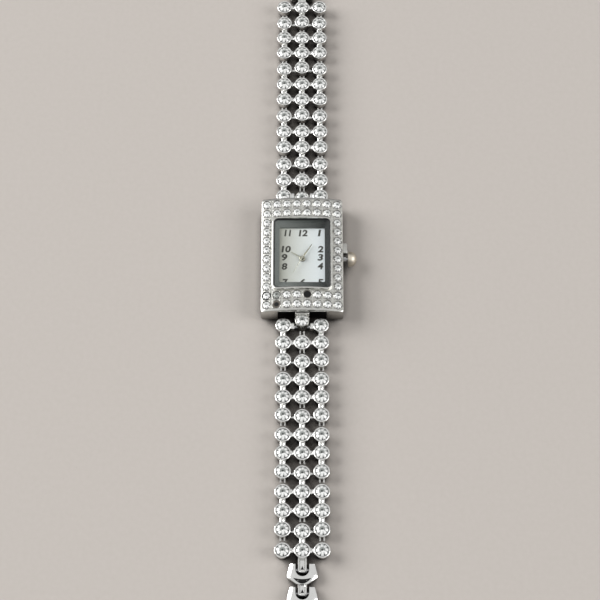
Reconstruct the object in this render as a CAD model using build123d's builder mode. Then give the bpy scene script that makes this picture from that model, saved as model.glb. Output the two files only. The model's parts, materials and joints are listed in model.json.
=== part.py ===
"""Ladies' bracelet watch: pave-set rectangular case on a three-row bracelet of stone cups.

Frame: the origin is the centre of the case back's outer face, +X points to the crown,
+Y to the 12 o'clock end and +Z up through the dial. The bracelet lies open and flat.
All sizes are millimetres.
"""

import os
from dataclasses import dataclass
from math import atan, cos, degrees, pi, radians, sin, sqrt, tan

from build123d import *

# Case
CASE_WIDTH = 21.0
CASE_LENGTH = 32.2
CASE_BOTTOM = 0.8
CASE_SIDE_TOP = 5.6
FACE_CREST = 7.0
FACE_RISE = FACE_CREST - CASE_SIDE_TOP
FACE_RADIUS = ((CASE_WIDTH / 2) ** 2 + FACE_RISE**2) / (2 * FACE_RISE)
CASE_CORNER = 0.7
CORNER_STEPS = 3
CASE_UNDERCUT = 0.6
BACK = (17.6, 26.0)
GASKET_FRAME = (17.2, 22.6)
GASKET_WINDOW = (16.2, 21.6)
GASKET_CORNER = 2.1
GASKET_THICKNESS = 0.35
CASE_END = CASE_LENGTH / 2
CAVITY = (16.0, 21.4)
CAVITY_TOP = 5.6
CAVITY_CORNER = 1.5
RECESS_WIDTH = 12.4
RECESS_DEPTH = 0.8
RECESS_TOP = 6.0

# Opening, collar, crystal and dial
OPENING = (14.5, 19.6)
OPENING_CORNER = 1.0
COLLAR_WALL = 0.55
COLLAR_RISE = 0.85
GASKET_WALL = 0.15
CRYSTAL_SEAT = 6.8
CRYSTAL_EDGE = 7.05
CRYSTAL_CREST = 7.75
CRYSTAL_BEVEL = 1.45
RING_WINDOW = (11.6, 16.0)
DIAL_TOP = 5.1
DIAL_THICKNESS = 0.35
DIAL = (15.6, 21.0)

# Pave field on the case face
PAVE_PITCH_X = 2.59
PAVE_PITCH_Y = 2.6
PAVE_COLUMNS = 8
PAVE_ROWS = 12
PAVE_FULL_ROWS = 2
PAVE_RADIUS = 1.02
PAVE_TABLE_RADIUS = 0.6
PAVE_RISE = 0.34
PAVE_SIDES = 6
SEAT_DEPTH = 0.75
EMPTY_SEATS = ((4, 1), (1, 0))

# Strap cups, their pitch along a bar and between the three columns
CUP_WIDTH = 4.17
CUP_HEIGHT = 3.4
CUP_TAPER = 12.0
CUP_SIDES = 10
ROW_PITCH = 4.77
COLUMN_PITCH = 4.76
HINGE_GAP = 0.47
ROWS = 13
FIRST_ROW = 2.45
STONE_SIDES = 6
SEAT_RADIUS = 1.78
STONE_DEPTH = 1.1
GIRDLE_DROP = 0.09
TABLE_RADIUS = 0.98
TABLE_RISE = 0.34

# Necks, prongs, spacers and pivots of the strap
NECK_WIDTH = 0.9
NECK_BOTTOM = 1.6
NECK_TOP = 2.6
NECK_BITE = 1.6
PRONG_LENGTH = 1.08
PRONG_BOTTOM = 2.0
SPACER_RADIUS = 0.48
SPACER_SIDES = 4
SPACER_HEIGHT = 2.3
SPACER_BITE = 1.7
PIN_HEIGHT = 1.75
PIN_RADIUS = 0.35
PIN_SIDES = 8
RUNNING_FIT = 0.03
TUBE_RADIUS = 0.6
TUBE_REACH = 2.35
TUBE_BORE = (-2.4, 2.4)
PIN_REACH = 3.2
TUBE_SIDES = 8

# Lugs and spring bars
LUG_WIDTH = 3.56
LUG_REACH = 3.3
LUG_TOP = 4.35
LUG_BOTTOM = 1.1
LUG_SIDES = 16
LUG_STEP = 0.4
LUG_STEP_TOP = 5.6
LUG_STONE_RADIUS = 1.5
LUG_STONE_CENTRE = 1.72
BAR_HEIGHT = 2.1
BAR_RADIUS = 0.5
BAR_SIDES = 10
BARREL_RADIUS = 0.95
BARREL_START = 1.86
BARREL_SIDES = 10
BAR_HALF_LENGTH = 2.9
BAR_BORE = (-2.95, 2.95)

# End links
TONGUE_WIDTH = 2.2
TONGUE_RADIUS = 0.95
TONGUE_THICKNESS = 1.5
EYE_SIDES = 10
FIRST_PIVOT = 4.5
LINK_PITCH = 5.7
LINK_LENGTH = 4.95
LINK_OUTLINE = ((2.95, 0), (3.58, 2.5), (3.58, 3.3), (1.3, 4.95))
LINK_LEAD = 1.4
LINK_BOTTOM = 0.75
LINK_TOP = 2.75
LINK_BEVEL = 0.85
NOTCH_WIDTH = 3.07
NOTCH_DEPTH = 3.06
LINK_PIN_REACH = 2.3

# Fold-over clasp
CLASP_WIDTH = 7.0
CLASP_LENGTH = 17.5
CLASP_BOTTOM = 0.5
CLASP_WALL = 0.5
CLASP_TOP = 2.6
CLASP_BLOCK = 3.6
COVER_GAP = 0.12
COVER_PLATE = 0.5
COVER_PIVOT_HEIGHT = 1.85
CATCH_WIDTH = 5.4
CATCH_LENGTH = 8.6
CATCH_BOTTOM = 0.9
CATCH_THICKNESS = 1.7
CATCH_SLOT = (3.0, 2.6)

# Crown
CROWN_HEIGHT = 3.3
CROWN_RADIUS = 1.93
CROWN_START = 11.75
CROWN_HOLLOW = 0.7
CROWN_HOLLOW_RADIUS = 1.1
STEM_RADIUS = 0.45
STEM_SIDES = 10
CROWN_TUBE_RADIUS = 0.8
TUBE_STAND = 0.7
CROWN_SIDES = 16

SHOULDER = (2.9, 1.5)
SHOULDER_PLACE = (2.65, 3.75)
SHOULDER_REACH = 1.1

# Movement, whose arbors turn a little below the middle of the case
MOVEMENT = (12.2, 15.2)
ARBOR_PLACE = (0.0, -0.75)
WHEEL_PLACE = (-1.3, 1.5)
PLATE_BOTTOM = 2.6
PLATE_TOP = 4.0
PLATE_CORNER = 1.2
BATTERY_RADIUS = 3.1
BATTERY_SIDES = 20
BATTERY_PLACE = (-2.2, -3.4)
BATTERY_BOTTOM = 1.15
CLIP_THICKNESS = 0.2
CLIP_WIDTH = 1.4
CLIP_REACH = 3.6
BRIDGE = (5.4, 5.6)
BRIDGE_PLACE = (0.6, 4.2)
BRIDGE_BOTTOM = 1.4
CIRCUIT = (3.2, 5.4)
CIRCUIT_PLACE = (-4.2, 4.2)
CIRCUIT_BOTTOM = 2.0
COIL_X = 4.3
COIL_HEIGHT = 1.85
COIL_RADIUS = 0.75
COIL_SPAN = (-6.2, 0.2)
CORE_SPAN = (-6.9, 0.9)
LEVER = (2.6, 1.2)
LEVER_START = 4.5
LEVER_THICKNESS = 0.5
STEM_START = 4.2
HOLDER_BOTTOM = 1.2

parts = []


def keep(builder, name):
    """Label one finished piece and write it to its own file."""
    builder.part.label = name
    export_step(builder.part, f"parts/{name}.step")
    parts.append(builder.part)


def soft_rectangle(width, length, radius, mode=Mode.ADD):
    """A rectangle with each corner rounded in CORNER_STEPS short flats."""
    corners = []
    for sign_x, sign_y, start in ((1, 1, 0), (-1, 1, 90), (-1, -1, 180), (1, -1, 270)):
        for step in range(CORNER_STEPS + 1):
            turn = radians(start + 90 * step / CORNER_STEPS)
            x = sign_x * (width / 2 - radius) + radius * cos(turn)
            y = sign_y * (length / 2 - radius) + radius * sin(turn)
            corners.append((x, y))
    return Polygon(*corners, mode=mode)


def facet_disc(radius, sides, mode=Mode.ADD):
    """A round outline kept light, drawn inside the circle of this radius."""
    return RegularPolygon(radius, sides, mode=mode)


def facet_hole(radius, sides):
    """A round hole kept light, cut outside the circle of this radius."""
    return RegularPolygon(radius, sides, major_radius=False, mode=Mode.SUBTRACT)


def face_height(x):
    """Height of the curve that the face's flats follow, at a distance x from the middle."""
    return FACE_CREST - FACE_RADIUS + sqrt(FACE_RADIUS**2 - x**2)


def face_outline(rise):
    """The edges between the flats of the curved face, from +X to -X, lifted by the rise."""
    inner = [(i - PAVE_COLUMNS / 2) * PAVE_PITCH_X for i in range(1, PAVE_COLUMNS)]
    edges = [-CASE_WIDTH / 2] + inner + [CASE_WIDTH / 2]
    return [(x, face_height(x) + rise) for x in reversed(edges)]


def under_face(rise):
    """Everything under the curved face, lifted by the rise."""
    with BuildPart() as under:
        with BuildSketch(Plane.XZ):
            with BuildLine():
                Polyline(*face_outline(rise), (-CASE_WIDTH / 2, 0), (CASE_WIDTH / 2, 0), close=True)
            make_face()
        extrude(amount=CASE_LENGTH, both=True)
    return under.part


def ring_points(radius, sides, height):
    """Corners of a level regular polygon, the first one on the +X side."""
    turns = [2 * pi * i / sides for i in range(sides)]
    return [(radius * cos(turn), radius * sin(turn), height) for turn in turns]


def brilliant(radius, sides, depth, table_radius, rise):
    """A faceted stone with its girdle at z=0; a depth of zero gives it a flat back."""
    points = ring_points(radius, sides, 0) + ring_points(table_radius, sides, rise)
    if depth:
        points.append((0, 0, -depth))
    return ConvexPolyhedron(points, mode=Mode.PRIVATE)


def stone_seat(radius, depth):
    """The hollow under one cup stone, a point-down pyramid with its wide end at z=0."""
    return ConvexPolyhedron(ring_points(radius, STONE_SIDES, 0) + [(0, 0, -depth)], mode=Mode.PRIVATE)


# Case

pave_x = [(i - (PAVE_COLUMNS - 1) / 2) * PAVE_PITCH_X for i in range(PAVE_COLUMNS)]
pave_y = [(j - (PAVE_ROWS - 1) / 2) * PAVE_PITCH_Y for j in range(PAVE_ROWS)]
edge_columns = (0, PAVE_COLUMNS - 1)
edge_rows = tuple(range(PAVE_FULL_ROWS)) + tuple(range(PAVE_ROWS - PAVE_FULL_ROWS, PAVE_ROWS))


def pave_location(column, row):
    """Where one pave stone stands, square on the flat of its column."""
    first = PAVE_COLUMNS - 1 - column
    (x_right, z_right), (x_left, z_left) = face_outline(0)[first : first + 2]
    slope = (z_left - z_right) / (x_right - x_left)
    height = z_left - slope * (pave_x[column] - x_left)
    return Location((pave_x[column], pave_y[row], height), (0, degrees(atan(slope)), 0))


pave_seats = [
    (column, row)
    for column in range(PAVE_COLUMNS)
    for row in range(PAVE_ROWS)
    if column in edge_columns or row in edge_rows
]
stone_places = [pave_location(*seat) for seat in pave_seats if seat not in EMPTY_SEATS]
empty_places = [pave_location(*seat) for seat in EMPTY_SEATS]

empty_seat = stone_seat(PAVE_RADIUS, SEAT_DEPTH)
lug_seat = stone_seat(LUG_STONE_RADIUS * STONE_DEPTH / (STONE_DEPTH - GIRDLE_DROP), STONE_DEPTH)
lug_seat_places = [(0, end * (CASE_END + LUG_STONE_CENTRE), LUG_TOP) for end in (1, -1)]

with BuildPart() as collar:
    with BuildSketch(Plane.XY.offset(CAVITY_TOP)):
        soft_rectangle(*[size + 2 * COLLAR_WALL for size in OPENING], OPENING_CORNER + COLLAR_WALL)
    extrude(amount=FACE_CREST - CAVITY_TOP + 2)
    add(under_face(COLLAR_RISE), mode=Mode.INTERSECT)

with BuildPart() as case_body:
    with BuildSketch(Plane.XZ):
        with BuildLine():
            Polyline(
                *face_outline(0),
                (-CASE_WIDTH / 2, CASE_BOTTOM + CASE_UNDERCUT),
                (-CASE_WIDTH / 2 + CASE_UNDERCUT, CASE_BOTTOM),
                (CASE_WIDTH / 2 - CASE_UNDERCUT, CASE_BOTTOM),
                (CASE_WIDTH / 2, CASE_BOTTOM + CASE_UNDERCUT),
                close=True,
            )
        make_face()
    extrude(amount=CASE_END, both=True)
    with BuildSketch(Plane.XY):
        soft_rectangle(CASE_WIDTH, CASE_LENGTH, CASE_CORNER)
    extrude(amount=FACE_CREST + 1, mode=Mode.INTERSECT)
    add(collar.part)
    # shallow recesses in the end walls, where the first strap cups swing
    with BuildSketch(Plane.XY):
        with Locations((0, CASE_END), (0, -CASE_END)):
            Rectangle(RECESS_WIDTH, 2 * RECESS_DEPTH)
    extrude(amount=RECESS_TOP, mode=Mode.SUBTRACT)
    # a lug in the middle of each end
    with BuildSketch(Plane.XY.offset(LUG_BOTTOM)):
        with Locations((0, CASE_END - 1), (0, 1 - CASE_END)):
            Rectangle(LUG_WIDTH, 2 * (1 + LUG_REACH - LUG_WIDTH / 2))
        with Locations((0, CASE_END + LUG_REACH - LUG_WIDTH / 2), (0, LUG_WIDTH / 2 - CASE_END - LUG_REACH)):
            facet_disc(LUG_WIDTH / 2, LUG_SIDES)
    extrude(amount=LUG_TOP - LUG_BOTTOM)
    with BuildSketch(Plane.XY.offset(LUG_TOP)):
        with Locations((0, CASE_END), (0, -CASE_END)):
            Rectangle(LUG_WIDTH, 2 * LUG_STEP)
    extrude(amount=LUG_STEP_TOP - LUG_TOP)
    # dial opening, movement cavity and gasket rebate
    with BuildSketch(Plane.XY.offset(CAVITY_TOP)):
        soft_rectangle(*OPENING, OPENING_CORNER)
    extrude(amount=FACE_CREST, mode=Mode.SUBTRACT)
    with BuildSketch(Plane.XY.offset(CASE_BOTTOM)):
        soft_rectangle(*CAVITY, CAVITY_CORNER)
    extrude(amount=CAVITY_TOP - CASE_BOTTOM, mode=Mode.SUBTRACT)
    with BuildSketch(Plane.XY.offset(CASE_BOTTOM)):
        soft_rectangle(*GASKET_FRAME, GASKET_CORNER)
    extrude(amount=GASKET_THICKNESS, mode=Mode.SUBTRACT)
    # spring bar bores through the lugs and the crown tube bore
    with BuildSketch(Plane.YZ):
        with Locations((CASE_END + FIRST_ROW, BAR_HEIGHT), (-CASE_END - FIRST_ROW, BAR_HEIGHT)):
            facet_disc(BAR_RADIUS, BAR_SIDES)
    extrude(amount=LUG_WIDTH, both=True, mode=Mode.SUBTRACT)
    with BuildSketch(Plane.YZ.offset(CAVITY[0] / 2 - 0.5)):
        with Locations((0, CROWN_HEIGHT)):
            facet_disc(CROWN_TUBE_RADIUS, STEM_SIDES)
    extrude(amount=CASE_WIDTH, mode=Mode.SUBTRACT)
    # shoulder beside the crown
    with BuildSketch(Plane.YZ.offset(CASE_WIDTH / 2 - 0.2)):
        with Locations(SHOULDER_PLACE):
            Rectangle(*SHOULDER)
    extrude(amount=SHOULDER_REACH + 0.2)
    with Locations(*empty_places):
        add(empty_seat, mode=Mode.SUBTRACT)
    with Locations(*lug_seat_places):
        add(lug_seat, mode=Mode.SUBTRACT)
keep(case_body, "case_body")

pave_stone = brilliant(PAVE_RADIUS, PAVE_SIDES, 0, PAVE_TABLE_RADIUS, PAVE_RISE)
with BuildPart() as pave_stones:
    with Locations(*stone_places):
        add(pave_stone)
keep(pave_stones, "pave_stones")


# Crystal, ring, dial and case back


def frame_ring(outer, corner, inner, inner_corner, bottom, top):
    """A flat frame between two heights."""
    with BuildPart() as ring:
        with BuildSketch(Plane.XY.offset(bottom)):
            soft_rectangle(*outer, corner)
            soft_rectangle(*inner, inner_corner, mode=Mode.SUBTRACT)
        extrude(amount=top - bottom)
    return ring


crystal_size = (OPENING[0] - 2 * GASKET_WALL, OPENING[1] - 2 * GASKET_WALL)
crystal_corner = OPENING_CORNER - GASKET_WALL
bevel_rise = CRYSTAL_CREST - CRYSTAL_EDGE

with BuildPart() as crystal:
    with BuildSketch(Plane.XY.offset(CRYSTAL_SEAT)):
        soft_rectangle(*crystal_size, crystal_corner)
    extrude(amount=CRYSTAL_EDGE - CRYSTAL_SEAT)
    with BuildSketch(Plane.XY.offset(CRYSTAL_EDGE)):
        Rectangle(*crystal_size)
    extrude(amount=bevel_rise, taper=degrees(atan(CRYSTAL_BEVEL / bevel_rise)))
    with BuildSketch(Plane.XY.offset(CRYSTAL_SEAT)):
        soft_rectangle(*crystal_size, crystal_corner)
    extrude(amount=CRYSTAL_CREST, mode=Mode.INTERSECT)
    add(under_face(CRYSTAL_CREST - FACE_CREST), mode=Mode.INTERSECT)
keep(crystal, "crystal")

crystal_gasket = frame_ring(
    OPENING, OPENING_CORNER, crystal_size, crystal_corner, CRYSTAL_SEAT, CRYSTAL_EDGE + 0.1
)
keep(crystal_gasket, "crystal_gasket")
keep(frame_ring(OPENING, OPENING_CORNER, RING_WINDOW, 0.3, DIAL_TOP, CRYSTAL_SEAT), "dial_ring")

with BuildPart() as dial:
    with BuildSketch(Plane.XY.offset(DIAL_TOP)):
        soft_rectangle(*DIAL, 1.3)
        with Locations(ARBOR_PLACE):
            facet_hole(0.8, 12)
    extrude(amount=-DIAL_THICKNESS)
keep(dial, "dial")

with BuildPart() as case_back:
    with BuildSketch(Plane.XY):
        soft_rectangle(*BACK, 2.0)
    extrude(amount=CASE_BOTTOM)
    chamfer(case_back.edges().group_by(Axis.Z)[0], 0.3)
keep(case_back, "case_back")

back_gasket = frame_ring(
    GASKET_FRAME, GASKET_CORNER, GASKET_WINDOW, 1.6, CASE_BOTTOM, CASE_BOTTOM + GASKET_THICKNESS
)
keep(back_gasket, "back_gasket")

lug_stone = brilliant(LUG_STONE_RADIUS, STONE_SIDES, STONE_DEPTH - GIRDLE_DROP, 0.85, TABLE_RISE)

with BuildPart() as lug_stones:
    with Locations(*[(0, y, height - GIRDLE_DROP) for _, y, height in lug_seat_places]):
        add(lug_stone)
keep(lug_stones, "lug_stones")

with BuildPart() as spring_bars:
    with BuildSketch(Plane.YZ):
        with Locations((CASE_END + FIRST_ROW, BAR_HEIGHT), (-CASE_END - FIRST_ROW, BAR_HEIGHT)):
            facet_disc(BAR_RADIUS, BAR_SIDES)
    extrude(amount=BAR_HALF_LENGTH, both=True)
keep(spring_bars, "spring_bars")


# Movement

dial_seat = DIAL_TOP - DIAL_THICKNESS

with BuildPart() as movement_holder:
    with BuildSketch(Plane.XY.offset(HOLDER_BOTTOM)):
        soft_rectangle(CAVITY[0] - 0.1, CAVITY[1] - 0.1, CAVITY_CORNER)
        Rectangle(MOVEMENT[0] + 0.1, MOVEMENT[1] + 0.1, mode=Mode.SUBTRACT)
    extrude(amount=dial_seat - HOLDER_BOTTOM)
    with BuildSketch(Plane.YZ.offset(MOVEMENT[0] / 2)):
        with Locations((0, CROWN_HEIGHT)):
            Rectangle(1.2, 1.2)
    extrude(amount=2.5, mode=Mode.SUBTRACT)
keep(movement_holder, "movement_holder")

with BuildPart() as main_plate:
    with BuildSketch(Plane.XY.offset(PLATE_BOTTOM)):
        Rectangle(*MOVEMENT)
        with Locations(ARBOR_PLACE):
            facet_hole(0.5, 12)
        with Locations((MOVEMENT[0] / 2, 0)):
            Rectangle(5.2, 3.2, mode=Mode.SUBTRACT)
    extrude(amount=PLATE_TOP - PLATE_BOTTOM)
    chamfer(main_plate.edges().filter_by(Axis.Z).group_by(Axis.Y)[0], PLATE_CORNER)
    chamfer(main_plate.edges().filter_by(Axis.Z).group_by(Axis.Y)[-1], PLATE_CORNER)
keep(main_plate, "main_plate")

with BuildPart() as train_bridge:
    with BuildSketch(Plane.XY.offset(BRIDGE_BOTTOM)):
        with Locations(BRIDGE_PLACE):
            Rectangle(*BRIDGE)
    extrude(amount=PLATE_BOTTOM - BRIDGE_BOTTOM)
    chamfer(train_bridge.edges().filter_by(Axis.Z), 0.9)
keep(train_bridge, "train_bridge")

with BuildPart() as circuit_block:
    with BuildSketch(Plane.XY.offset(CIRCUIT_BOTTOM)):
        with Locations(CIRCUIT_PLACE):
            Rectangle(*CIRCUIT)
    extrude(amount=PLATE_BOTTOM - CIRCUIT_BOTTOM)
keep(circuit_block, "circuit_block")

with BuildPart() as battery:
    with BuildSketch(Plane.XY.offset(BATTERY_BOTTOM)):
        with Locations(BATTERY_PLACE):
            facet_disc(BATTERY_RADIUS, BATTERY_SIDES)
    extrude(amount=PLATE_BOTTOM - BATTERY_BOTTOM)
keep(battery, "battery")

# the clip lies across the cell and rises to the plate beside it
with BuildPart() as battery_clip:
    with BuildSketch(Plane.XY.offset(BATTERY_BOTTOM - CLIP_THICKNESS)):
        with Locations(BATTERY_PLACE):
            Rectangle(2 * CLIP_REACH, CLIP_WIDTH)
    extrude(amount=CLIP_THICKNESS)
    with BuildSketch(Plane.XY.offset(BATTERY_BOTTOM - CLIP_THICKNESS)):
        with Locations((BATTERY_PLACE[0] + CLIP_REACH - CLIP_THICKNESS / 2, BATTERY_PLACE[1])):
            Rectangle(CLIP_THICKNESS, CLIP_WIDTH)
    extrude(amount=PLATE_BOTTOM - BATTERY_BOTTOM + CLIP_THICKNESS)
keep(battery_clip, "battery_clip")

# winding on a flat core whose ends run on past it
with BuildPart() as coil:
    with BuildSketch(Plane.XZ.offset(-COIL_SPAN[1])):
        with Locations((COIL_X, COIL_HEIGHT)):
            facet_disc(COIL_RADIUS, STEM_SIDES)
    extrude(amount=COIL_SPAN[1] - COIL_SPAN[0])
    with BuildSketch(Plane.XZ.offset(-CORE_SPAN[1])):
        with Locations((COIL_X, COIL_HEIGHT + 0.5)):
            Rectangle(1.2, 0.5)
    extrude(amount=CORE_SPAN[1] - CORE_SPAN[0])
keep(coil, "coil")

# Hands and motion work under the dial

HUB_SIDES = 8


@dataclass(frozen=True)
class HandShape:
    """One hand: its turn clockwise from 12 o'clock, its blade and its hub."""

    angle: float
    length: float
    tail: float
    width: float
    tip: float
    bottom: float
    thickness: float
    hub: float


HOUR = HandShape(
    angle=-57.25, length=3.3, tail=0.9, width=0.5, tip=0.2,
    bottom=5.36, thickness=0.14, hub=0.78,
)
MINUTE = HandShape(
    angle=33.0, length=4.6, tail=1.1, width=0.46, tip=0.16,
    bottom=5.66, thickness=0.14, hub=0.6,
)
SECOND = HandShape(
    angle=208.0, length=5.0, tail=1.6, width=0.2, tip=0.1,
    bottom=5.94, thickness=0.1, hub=0.42,
)


def hand(shape, bore=0.0):
    """A tapered hand on a round hub, with a bore through the hub if it has a radius."""
    plane = Plane.XY.rotated((0, 0, -shape.angle)).offset(shape.bottom)
    wide = shape.width / 2
    narrow = shape.tip / 2
    with BuildPart() as blade:
        with BuildSketch(plane):
            with BuildLine():
                Polyline(
                    (-wide, 0), (-narrow, shape.length), (narrow, shape.length), (wide, 0),
                    (narrow, -shape.tail), (-narrow, -shape.tail), close=True,
                )
            make_face()
            facet_disc(shape.hub, HUB_SIDES)
            if bore:
                facet_disc(bore, HUB_SIDES, mode=Mode.SUBTRACT)
        extrude(amount=shape.thickness)
    return blade.part


def sleeve(outer, inner, bottom, top):
    """A faceted tube or a solid arbor when the inner radius is zero."""
    with BuildPart() as tube:
        with BuildSketch(Plane.XY.offset(bottom)):
            RegularPolygon(outer, HUB_SIDES)
            if inner:
                RegularPolygon(inner, HUB_SIDES, mode=Mode.SUBTRACT)
        extrude(amount=top - bottom)
    return tube.part


# the cannon pinion turns in the hour tube, and the second arbor in the cannon pinion
LOWER_WHEEL = (4.1, 4.32)
UPPER_WHEEL = (4.42, 4.64)
HOUR_TUBE = (0.74, 0.5)
HOUR_WHEEL_RADIUS = 1.95
CANNON = (0.42, 0.24)
CANNON_PINION_RADIUS = 0.62
MINUTE_WHEEL_RADIUS = 1.8
MINUTE_PINION_RADIUS = 0.52
SECOND_ARBOR_RADIUS = 0.19
SECOND_ARBOR_START = 3.2
SECOND_CAP = (0.3, 6.2)

with BuildPart() as hour_hand:
    with Locations(ARBOR_PLACE):
        add(hand(HOUR, HOUR_TUBE[1]))
        add(sleeve(*HOUR_TUBE, UPPER_WHEEL[0], HOUR.bottom + 0.04))
        add(sleeve(HOUR_WHEEL_RADIUS, HOUR_TUBE[1], *UPPER_WHEEL))
keep(hour_hand, "hour_hand")

with BuildPart() as minute_hand:
    with Locations(ARBOR_PLACE):
        add(hand(MINUTE, CANNON[1]))
        add(sleeve(*CANNON, LOWER_WHEEL[0], MINUTE.bottom + 0.04))
        add(sleeve(CANNON_PINION_RADIUS, CANNON[1], *LOWER_WHEEL))
keep(minute_hand, "minute_hand")

with BuildPart() as second_hand:
    with Locations(ARBOR_PLACE):
        add(hand(SECOND))
        add(sleeve(SECOND_ARBOR_RADIUS, 0, SECOND_ARBOR_START, SECOND.bottom + 0.02))
        add(sleeve(SECOND_CAP[0], 0, SECOND.bottom + 0.02, SECOND_CAP[1]))
keep(second_hand, "second_hand")

with BuildPart() as minute_wheel:
    with Locations(WHEEL_PLACE):
        add(sleeve(MINUTE_WHEEL_RADIUS, 0, *LOWER_WHEEL))
        add(sleeve(MINUTE_PINION_RADIUS, 0, LOWER_WHEEL[1], UPPER_WHEEL[1]))
keep(minute_wheel, "minute_wheel")

# Crown, stem and setting lever

crown_plane = Plane.YZ.offset(CROWN_START)
# distance from the crown's inner face and how far the ring is drawn in
crown_rings = ((0, 0), (1.3, 0), (1.9, 0.27), (2.25, 0.93))
crown_points = []
for distance, drawn_in in crown_rings:
    crown_points += ring_points(CROWN_RADIUS - drawn_in, CROWN_SIDES, distance)
crown_blank = ConvexPolyhedron(crown_points, mode=Mode.PRIVATE)

with BuildPart() as crown:
    with Locations(crown_plane):
        with Locations((0, CROWN_HEIGHT, 0)):
            add(crown_blank)
    with BuildSketch(crown_plane):
        with Locations((0, CROWN_HEIGHT)):
            facet_disc(CROWN_HOLLOW_RADIUS, STEM_SIDES)
    extrude(amount=CROWN_HOLLOW, mode=Mode.SUBTRACT)
keep(crown, "crown")

with BuildPart() as stem:
    with BuildSketch(Plane.YZ.offset(STEM_START)):
        with Locations((0, CROWN_HEIGHT)):
            facet_disc(STEM_RADIUS, STEM_SIDES)
    extrude(amount=CROWN_START + CROWN_HOLLOW - STEM_START)
keep(stem, "stem")

with BuildPart() as crown_gasket:
    with BuildSketch(Plane.YZ.offset(CROWN_START + CROWN_HOLLOW - 0.3)):
        with Locations((0, CROWN_HEIGHT)):
            facet_disc(CROWN_HOLLOW_RADIUS - 0.1, STEM_SIDES)
            facet_disc(STEM_RADIUS, STEM_SIDES, mode=Mode.SUBTRACT)
    extrude(amount=0.3)
keep(crown_gasket, "crown_gasket")

with BuildPart() as crown_tube:
    with BuildSketch(Plane.YZ.offset(CAVITY[0] / 2)):
        with Locations((0, CROWN_HEIGHT)):
            facet_disc(CROWN_TUBE_RADIUS, STEM_SIDES)
            facet_hole(STEM_RADIUS + 0.06, STEM_SIDES)
    extrude(amount=CASE_WIDTH / 2 + TUBE_STAND - CAVITY[0] / 2)
keep(crown_tube, "crown_tube")

with BuildPart() as setting_lever:
    with BuildSketch(Plane.YZ.offset(LEVER_START)):
        with Locations((0, CROWN_HEIGHT)):
            Rectangle(*LEVER)
            facet_hole(STEM_RADIUS + 0.04, STEM_SIDES)
    extrude(amount=LEVER_THICKNESS)
keep(setting_lever, "setting_lever")

# Strap: rows of cups, brick-linked


def strap_plane(side, height=0.0):
    """Plan view of one strap: x across it, y outward from the case end (side 1 is 12 o'clock)."""
    return Plane(origin=(0, side * CASE_END, height), x_dir=(side, 0, 0), z_dir=(0, 0, 1))


def side_plane(side, across=0.0):
    """Side view of one strap: x outward from the case end, y up."""
    return Plane(origin=(side * across, side * CASE_END, 0), x_dir=(0, side, 0), z_dir=(side, 0, 0))


def row_distance(row, column):
    """Distance from the case end to a cup's centre, with the extra gap at every pivot passed."""
    gaps = row // 3 if column == 0 else (row - 1) // 3
    return FIRST_ROW + (row - 1) * ROW_PITCH + gaps * HINGE_GAP


def pivot_distance(row):
    """Distance of the pivot at a row: between the outer cups' centres and the centre cup's."""
    return row_distance(row, 1) + HINGE_GAP / 2


GROUPS = (
    ((1, 2, 3), (2,)),
    ((4, 5, 6), (3, 4, 5)),
    ((7, 8, 9), (6, 7, 8)),
    ((10, 11, 12), (9, 10, 11)),
    ((13,), (12, 13)),
)
PIVOT_ROWS = (1, 3, 6, 9, 12)
SIDES = {"12": 1, "6": -1}

rim_corner = CUP_WIDTH / 2 / cos(pi / CUP_SIDES)
base_corner = rim_corner - CUP_HEIGHT * tan(radians(CUP_TAPER))
cup_blank = ConvexPolyhedron(
    ring_points(base_corner, CUP_SIDES, 0) + ring_points(rim_corner, CUP_SIDES, CUP_HEIGHT),
    mode=Mode.PRIVATE,
)
cup_seat = stone_seat(SEAT_RADIUS, STONE_DEPTH)
stone_radius = SEAT_RADIUS * (1 - GIRDLE_DROP / STONE_DEPTH)
cup_stone = brilliant(stone_radius, STONE_SIDES, STONE_DEPTH - GIRDLE_DROP, TABLE_RADIUS, TABLE_RISE)
last_row = row_distance(ROWS, 0)
end_pivots = [last_row + FIRST_PIVOT + n * LINK_PITCH for n in range(3)]


def group_cups(group):
    """Cup centres of one rigid group, in the strap's plan view."""
    outer, centre = GROUPS[group]
    cups = [(x, row_distance(row, 1)) for x in (-COLUMN_PITCH, COLUMN_PITCH) for row in outer]
    return cups + [(0, row_distance(row, 0)) for row in centre]


def neck_places(group):
    """Centre of every neck between neighbouring cups of one bar."""
    outer, centre = GROUPS[group]
    ahead = ROW_PITCH / 2
    necks = [(x, row_distance(row, 1) + ahead) for x in (-COLUMN_PITCH, COLUMN_PITCH) for row in outer[:-1]]
    return necks + [(0, row_distance(row, 0) + ROW_PITCH / 2) for row in centre[:-1]]


def prong_places(group):
    """Centres of the short prongs that bridge the hinge gaps."""
    outer, centre = GROUPS[group]
    if group == len(GROUPS) - 1:
        return []
    offset = NECK_BITE + PRONG_LENGTH / 2
    places = [(x, row_distance(outer[-1], 1) + offset) for x in (-COLUMN_PITCH, COLUMN_PITCH)]
    places.append((0, row_distance(centre[-1], 0) + offset))
    if group == 0:
        places.append((0, row_distance(centre[0], 0) - offset))
    return places


def both_flanks(near, far):
    """The same span on each side of the strap's middle."""
    return ((near, far), (-far, -near))


def cross_rod(side, distance, height, radius, across, sides, hole=False):
    """A light faceted rod along X between two places across the strap, or the hole for one."""
    with BuildPart() as rod:
        with BuildSketch(side_plane(side, across[0])):
            with Locations((distance, height)):
                RegularPolygon(radius, sides, major_radius=not hole)
        extrude(amount=across[1] - across[0])
    return rod.part


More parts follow.
